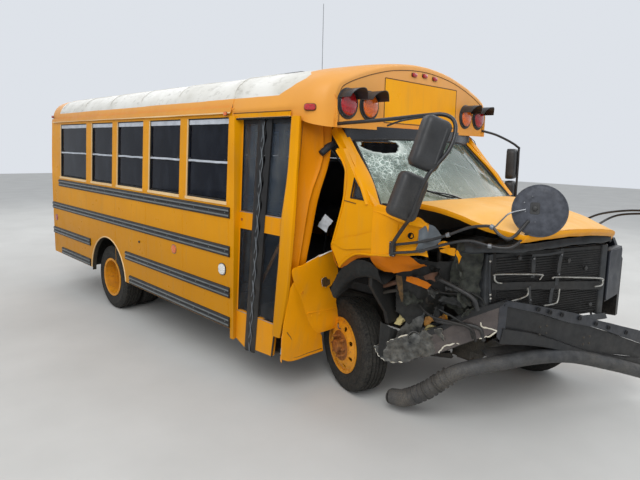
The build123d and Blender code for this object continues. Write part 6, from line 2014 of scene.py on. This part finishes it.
def make_roof_details():
    form = Form("roof_seams_and_rivets", "bus")
    for y in (1180, 460, -260, -980, -1700):
        line = arch(y, 1191, 2192, 1052, 2420, 2561, 2193)[2:-2]
        form.tube([(x, y, z + 1) for x, y, z in line], 3, ROOF, 8, 3)
        spots = flow([(x, y - 16, z) for x, y, z in line], 4)[2:-2:2]
        form.bolts([(p, (p.x * 0.35, 0, p.z - 1500)) for p in spots], *ROOF_RIVET)
    form.finish()
    lid = Form("hatch_lid_dressed", "hatch_lid", "roof_hatch")
    middle = Matrix.Translation((0, -2104, 2560))
    lid.slab(box_outline(660, 648, 40, 5), 7, 26, PLASTIC, middle, 6)
    lid.slab(box_outline(560, 548, 60, 6), 25, 35, ROOF, middle, 8)
    lid.frame(box_outline(640, 628, 36, 5), 30, 1, 9, RUBBER, middle)
    for x in (-150, 150):
        lid.block((x - 26, -2330, 2593), (x + 26, -1880, 2600), ROOF, 3)
    lid.turned([(-150, 9), (150, 9)], STEEL, aim((0, -2454, 2581), (1, 0, 0)), 16)
    lid.block((-150, -2454, 2577), (150, -2420, 2585), STEEL, 1.5)
    lid.tube([(-60, -1800, 2566), (-60, -1796, 2540), (60, -1796, 2540), (60, -1800, 2566)], 6,
             PLASTIC, 8, 3)
    lid.finish()


make_rear_end()
make_rear_door()
make_left_side()
make_stop_arm()
make_roof_details()


# Seats, cab interior and underbody
def pillow(size, crown, pull):
    """Crowned closed pad about the origin: full in the middle, its sides drawn in between the corners."""
    half = [s / 2 for s in size]
    work = bmesh.new()
    bmesh.ops.create_cube(work, size=2.0)
    bmesh.ops.subdivide_edges(work, edges=work.edges, cuts=9, use_grid_fill=True)
    for point in work.verts:
        u, v, w = point.co
        full = (1 - u ** 4) * (1 - v ** 4)
        waist = (1 - abs(w) ** 3) * 0.04
        point.co = Vector((half[0] * u * (1 + waist) - pull * u * (1 - v * v),
                           half[1] * v * (1 + waist) - pull * v * (1 - u * u),
                           half[2] * w * (0.74 + 0.26 * full) + crown * w * full * (1 - abs(w) * 0.2)))
    bmesh.ops.bevel(work, geom=[e for e in work.edges if e.calc_face_angle(0) > 1.0], offset=9, segments=3,
                    affect="EDGES")
    return work


CLOTH_STEPS = 20


def swollen(work, cap):
    """Voxel skin, then some steps of pressured cloth, each point held within the cap."""
    for point in work.verts:
        point.co /= 1000
    mesh = bpy.data.meshes.new("pad_work")
    work.to_mesh(mesh)
    work.free()
    piece = bpy.data.objects.new("pad_work", mesh)
    bpy.context.scene.collection.objects.link(piece)
    skin = piece.modifiers.new("skin", "REMESH")
    skin.mode = "VOXEL"
    skin.voxel_size = 0.011
    rest = bpy.data.meshes.new_from_object(piece.evaluated_get(bpy.context.evaluated_depsgraph_get()))
    piece.modifiers.clear()
    piece.data = rest
    cloth = piece.modifiers.new("cloth", "CLOTH")
    cloth.settings.quality = 4
    cloth.settings.use_pressure = True
    cloth.settings.uniform_pressure_force = 4
    cloth.settings.effector_weights.gravity = 0
    cloth.point_cache.frame_end = CLOTH_STEPS
    before = [v.co.copy() for v in rest.vertices]
    for step in range(1, CLOTH_STEPS + 1):
        bpy.context.scene.frame_set(step)
    done = bpy.data.meshes.new_from_object(piece.evaluated_get(bpy.context.evaluated_depsgraph_get()))
    for point, start in zip(done.vertices, before):
        move = point.co - start
        if move.length > cap:
            point.co = start + move * (cap / move.length)
    bpy.data.objects.remove(piece)
    bpy.context.scene.frame_set(1)
    return done


def place_pad(name, mesh, place, size, look, *replaced):
    """A finished pad set in its place, with piping snapped to its surface."""
    skin = BVHTree.FromPolygons([v.co * 1000 for v in mesh.vertices], [p.vertices for p in mesh.polygons])
    form = Form(name, "bus", *replaced)
    form.add([place @ (v.co * 1000) for v in mesh.vertices],
             [tuple(p.vertices) for p in mesh.polygons], look)
    wide, deep, high = (s / 2 for s in size)
    for level in (0.62, -0.62):
        ring = []
        for k in range(65):
            turn = math.tau * k / 64
            x, y = math.cos(turn), math.sin(turn)
            grow = 1 / max(abs(x), abs(y))
            guess = Vector((wide * x * min(grow, 1.32), deep * y * min(grow, 1.32), high * level))
            hit = skin.find_nearest(guess)[0]
            ring.append(place @ (hit + (hit - Vector((0, 0, hit.z))).normalized() * 1.5))
        form.tube(ring, 4, PIPING, 6, 1)
    piece = form.finish(60)


# Rear faces of the bench rows, and the middle of a bench
BENCH_BACKS = (1180, 460, -280, -1000, -1720)
BENCH_X = 685


def make_benches():
    cushion_size, back_size = (866, 400, 104), (862, 610, 46)
    cushion = swollen(pillow(cushion_size, 7, 7), 0.014)
    back = swollen(pillow(back_size, 6, 8), 0.012)
    frames = Form("bench_frames", "bus", "passenger_seats")
    for side in (-1, 1):
        for index, rear in enumerate(BENCH_BACKS):
            if side == -1 and rear < -1700:
                continue
            tag = ("right", "left")[side > 0] + f"_{index + 1}"
            low = Matrix.Translation((side * BENCH_X, rear - 268, 1188))
            place_pad(f"bench_cushion_{tag}", cushion, low, cushion_size, VINYL, "passenger_seats")
            leaning = Matrix.Rotation(math.radians(90 + 3.2), 4, "X")
            high = Matrix.Translation((side * BENCH_X, rear - 46, 1448)) @ leaning
            place_pad(f"bench_back_{tag}", back, high, back_size, VINYL, "passenger_seats")
            for x in (315, 1095):
                foot = WELL_TOP if x > 1000 else FLOOR_TOP
                frames.tube([(side * x, rear - 400, foot), (side * x, rear - 410, 1118),
                             (side * x, rear - 90, 1118), (side * x, rear - 100, foot)], 14, PLASTIC, 10, 2)
            frames.tube([(side * 300, rear - 440, 1122), (side * 1110, rear - 440, 1122)], 12,
                        PLASTIC, 8, 1)
            frames.slab(box_outline(850, 380, 10), 1122, 1134, HOLE_BLACK,
                        Matrix.Translation((side * BENCH_X, rear - 268, 0)), 2)
            frames.tube([(side * 268, rear - 70, 1130), (side * 268, rear - 30, 1600),
                         (side * 300, rear - 26, 1722)], 13, PLASTIC, 8, 3)
    frames.finish()


def make_firewall():
    """Cowl, dash block, engine cover and the firewall, its right foot torn away by the wheel."""
    form = Form("firewall_and_dash", "bus", "cowl_and_dash")
    half = [(925, -3850), (620, -3931), (210, -3971)]
    cowl = [(-940, -3800)] + [(-x, y) for x, y in half] + half[::-1] + [(940, -3800)]
    form.slab(cowl, 1330, 1507, DASH, Matrix(), 6)
    wall = [(-940, 1490), (900, 1490), (900, 680), (300, 680), (300, 1210), (-300, 1210), (-300, 680),
            (-735, 680), (-768, 770), (-850, 870), (-940, 985)]
    form.slab(wall, 0, 30, DASH, aim((0, -3770, 0), (0, -1, 0)), 2)
    form.block((-900, -3770, 1230), (900, -3480, 1430), DASH, 22)
    form.block((-320, -3772, 768), (320, -3250, 1230), DASH, 34)
    for x in (-820, -560, -380, 420, 640, 840):
        form.tube([(x, -3803, 1470), (x + 4, -3806, 1240), (x, -3803, 1000)], 7, DASH, 8, 4)
    form.finish()


make_firewall()


def make_cab_interior():
    cushion_size, back_size = (470, 410, 118), (452, 590, 70)
    cushion = swollen(pillow(cushion_size, 9, 10), 0.016)
    back = swollen(pillow(back_size, 8, 10), 0.014)
    middle = Matrix.Translation((520, -2950, 1138))
    place_pad("driver_seat_cushion", cushion, middle, cushion_size, VINYL, "driver_seat")
    tilt = Matrix.Translation((520, -2734, 1462)) @ Matrix.Rotation(math.radians(90 + 8), 4, "X")
    place_pad("driver_seat_back", back, tilt, back_size, VINYL, "driver_seat")
    form = Form("steering_wheel_and_pedestal", "bus", "driver_seat")
    wheel = Matrix.Translation((520, -3330, 1330)) @ Matrix.Rotation(math.radians(55), 4, "X")
    form.tube([wheel @ polar(190, math.tau * k / 48) for k in range(49)], 13, PLASTIC, 12, 1)
    for degrees in (90, 215, 325):
        turn = math.radians(degrees)
        spoke = [wheel @ polar(radius, turn, height) for radius, height in ((0, -22), (90, -14), (184, 0))]
        form.tube(spoke, (22, 15, 10), PLASTIC, 10, 4)
    form.turned([(-34, 50), (-20, 58), (0, 54), (6, 40), (8, 10)], PLASTIC, wheel, 32)
    form.tube([(520, -3500, 1215), (520, -3355, 1312)], (34, 26), PLASTIC, 16, 1)
    form.tube([(470, -3400, 1290), (380, -3380, 1330)], 7, PLASTIC, 8, 1)
    form.turned([(FLOOR_TOP, 130), (FLOOR_TOP + 14, 126), (FLOOR_TOP + 30, 70), (1040, 64), (1060, 110),
                 (1082, 130)], CHASSIS, Matrix.Translation((520, -2950, 0)), 32)
    form.block((300, -3130, 1074), (740, -2770, 1088), CHASSIS, 5)
    form.tube([(280, -2790, 1100), (262, -2740, 1150), (262, -2710, 1260)], 9, STEEL, 8, 3)
    form.finish(45)
    dash = Form("dash_fittings", "bus")
    cowl = [[(x, -3478 - 6 * abs(math.sin(x / 210)), z) for x in range(-880, 881, 220)]
            for z in (1236, 1330, 1420)]
    dash.sheet(cowl, PLASTIC, 6, refine=4)
    hood = [[(300, -3470, 1428), (520, -3440, 1448), (740, -3470, 1428)],
            [(300, -3600, 1440), (520, -3600, 1486), (740, -3600, 1440)],
            [(300, -3740, 1432), (520, -3760, 1450), (740, -3740, 1432)]]
    dash.sheet(hood, PLASTIC, 8, refine=5)
    cluster = aim((520, -3474, 1372), (0, 1, 0.1))
    dash.frame(box_outline(380, 112, 24), 12, -2, 10, PLASTIC, cluster)
    for x in (-120, 0, 120):
        dial = cluster @ Matrix.Translation((x, 0, 2))
        dash.turned([(0, 46), (5, 46), (5, 41), (2, 40), (2, 2)], VISOR_GLASS, dial, 32)
    for x in (-620, -300, 80, 820):
        vent = aim((x, -3474, 1366), (0, 1, 0))
        dash.frame(box_outline(140, 66, 10), 9, 0, 8, PLASTIC, vent)
        for k in range(-2, 3):
            dash.block((-60, k * 11 - 3, 0), (60, k * 11 + 1, 6), GROOVE_BLACK, 1, vent)
    knobs = aim((180, -3474, 1290), (0, 1, 0))
    for k in range(6):
        dash.turned([(0, 11), (8, 11), (12, 7)], (RED_LENS, PLASTIC, STEEL)[k % 3],
                    knobs @ Matrix.Translation((k * 34, 0, 0)), 14)
    dash.finish()


def make_underbody():
    form = Form("driveline_and_exhaust", "bus")
    form.tube([(0, -2700, 600), (0, -1500, 560), (0, -420, 440)], 46, IRON, 20, 3)
    joint = [(-60, 34), (-50, 62), (-16, 62), (-8, 44), (8, 44), (16, 62), (50, 62), (60, 34)]
    for y, z in ((-2680, 600), (-1500, 560), (-420, 440)):
        form.turned(joint, STEEL, aim((0, y, z), (0, 1, -0.08)), 20)
    form.block((-120, -1535, 480), (120, -1465, 640), CHASSIS, 10)
    form.tube([(230, -3700, 600), (300, -3400, 470), (520, -2900, 420), (560, -2450, 420)], 32,
              RUSTED_PIPE, 16, 5)
    form.turned([(-420, 34), (-400, 60), (-380, 118), (-360, 128), (360, 128), (380, 118), (400, 60),
                 (420, 34)], RUSTED_PIPE, aim((570, -2040, 420), (0, 1, 0)), 32)
    form.tube([(570, -1640, 420), (590, -1300, 415), (700, -1000, 400), (1000, -860, 390),
               (1180, -840, 386)], 32, RUSTED_PIPE, 16, 6)
    form.turned([(0, 33), (14, 34), (14, 27), (-40, 27)], HOLE_BLACK,
                aim((1178, -840, 386), (1, 0.1, 0)), 20)
    for y in (-2300, -1750, -1200):
        form.tube([(570, y, 300), (700, y, 320), (700, y, 500), (430, y, 560)], 9, CHASSIS, 6, 3)
    form.tube([(-436, -2500, 640), (-440, -1000, 640), (-436, 300, 620), (-300, 780, 500)], 8, RUBBER, 6, 6)
    form.tube([(-380, -2600, 520), (-384, -1200, 516), (-372, -260, 480)], 6, STEEL, 6, 6)
    form.finish()
    tank = Form("fuel_tank_dressed", "bus", "fuel_tank")
    tank.slab(box_outline(660, 540, 46, 5), 330, 500, CHASSIS, Matrix.Translation((0, 1030, 0)), 22)
    strap = ((758, 506), (752, 330), (780, 322), (1280, 322), (1308, 330), (1302, 506))
    for x in (-180, 180):
        tank.sheet([[(x + half, y, z) for y, z in strap] for half in (-22, 22)], STEEL, 3, refine=2)
    tank.tube([(-422, 850, 495), (-330, 850, 470)], 30, CHASSIS, 12, 1)
    tank.tube([(320, 960, 470), (700, 960, 560), (1100, 960, 850), (1190, 960, 940)], 28, RUBBER, 14, 5)
    tank.finish()


make_benches()
make_cab_interior()
make_underbody()


def make_stage():
    """Pale floor, even sky light and three large soft lamps."""
    look = Look("pale_floor", 0.9, spec=0.2)
    look.color(look.tone(900, "C9C8C4", "C0BFBB", 4))
    bpy.ops.mesh.primitive_plane_add(size=60, location=(0, 0, 0))
    floor = bpy.context.object
    floor.name = "floor"
    floor.data.materials.append(look.mat)
    world = bpy.data.worlds.new("sky")
    bpy.context.scene.world = world
    world.use_nodes = True
    world.node_tree.nodes["Background"].inputs[0].default_value = (0.86, 0.90, 0.96, 1)
    world.node_tree.nodes["Background"].inputs[1].default_value = 0.85
    for name, at, size, power in (("key", (-7, -6, 8), 7, 620), ("fill", (7, -3, 7), 8, 260),
                                  ("back", (1, 9, 8), 8, 300)):
        light = bpy.data.lights.new(name, "AREA")
        light.size = size
        light.energy = power
        lamp = bpy.data.objects.new(name, light)
        lamp.location = at
        lamp.rotation_euler = (Vector((0, 0, 1)) - Vector(at)).to_track_quat("-Z", "Y").to_euler()
        bpy.context.scene.collection.objects.link(lamp)
    bpy.context.scene.view_settings.view_transform = "Standard"


make_stage()
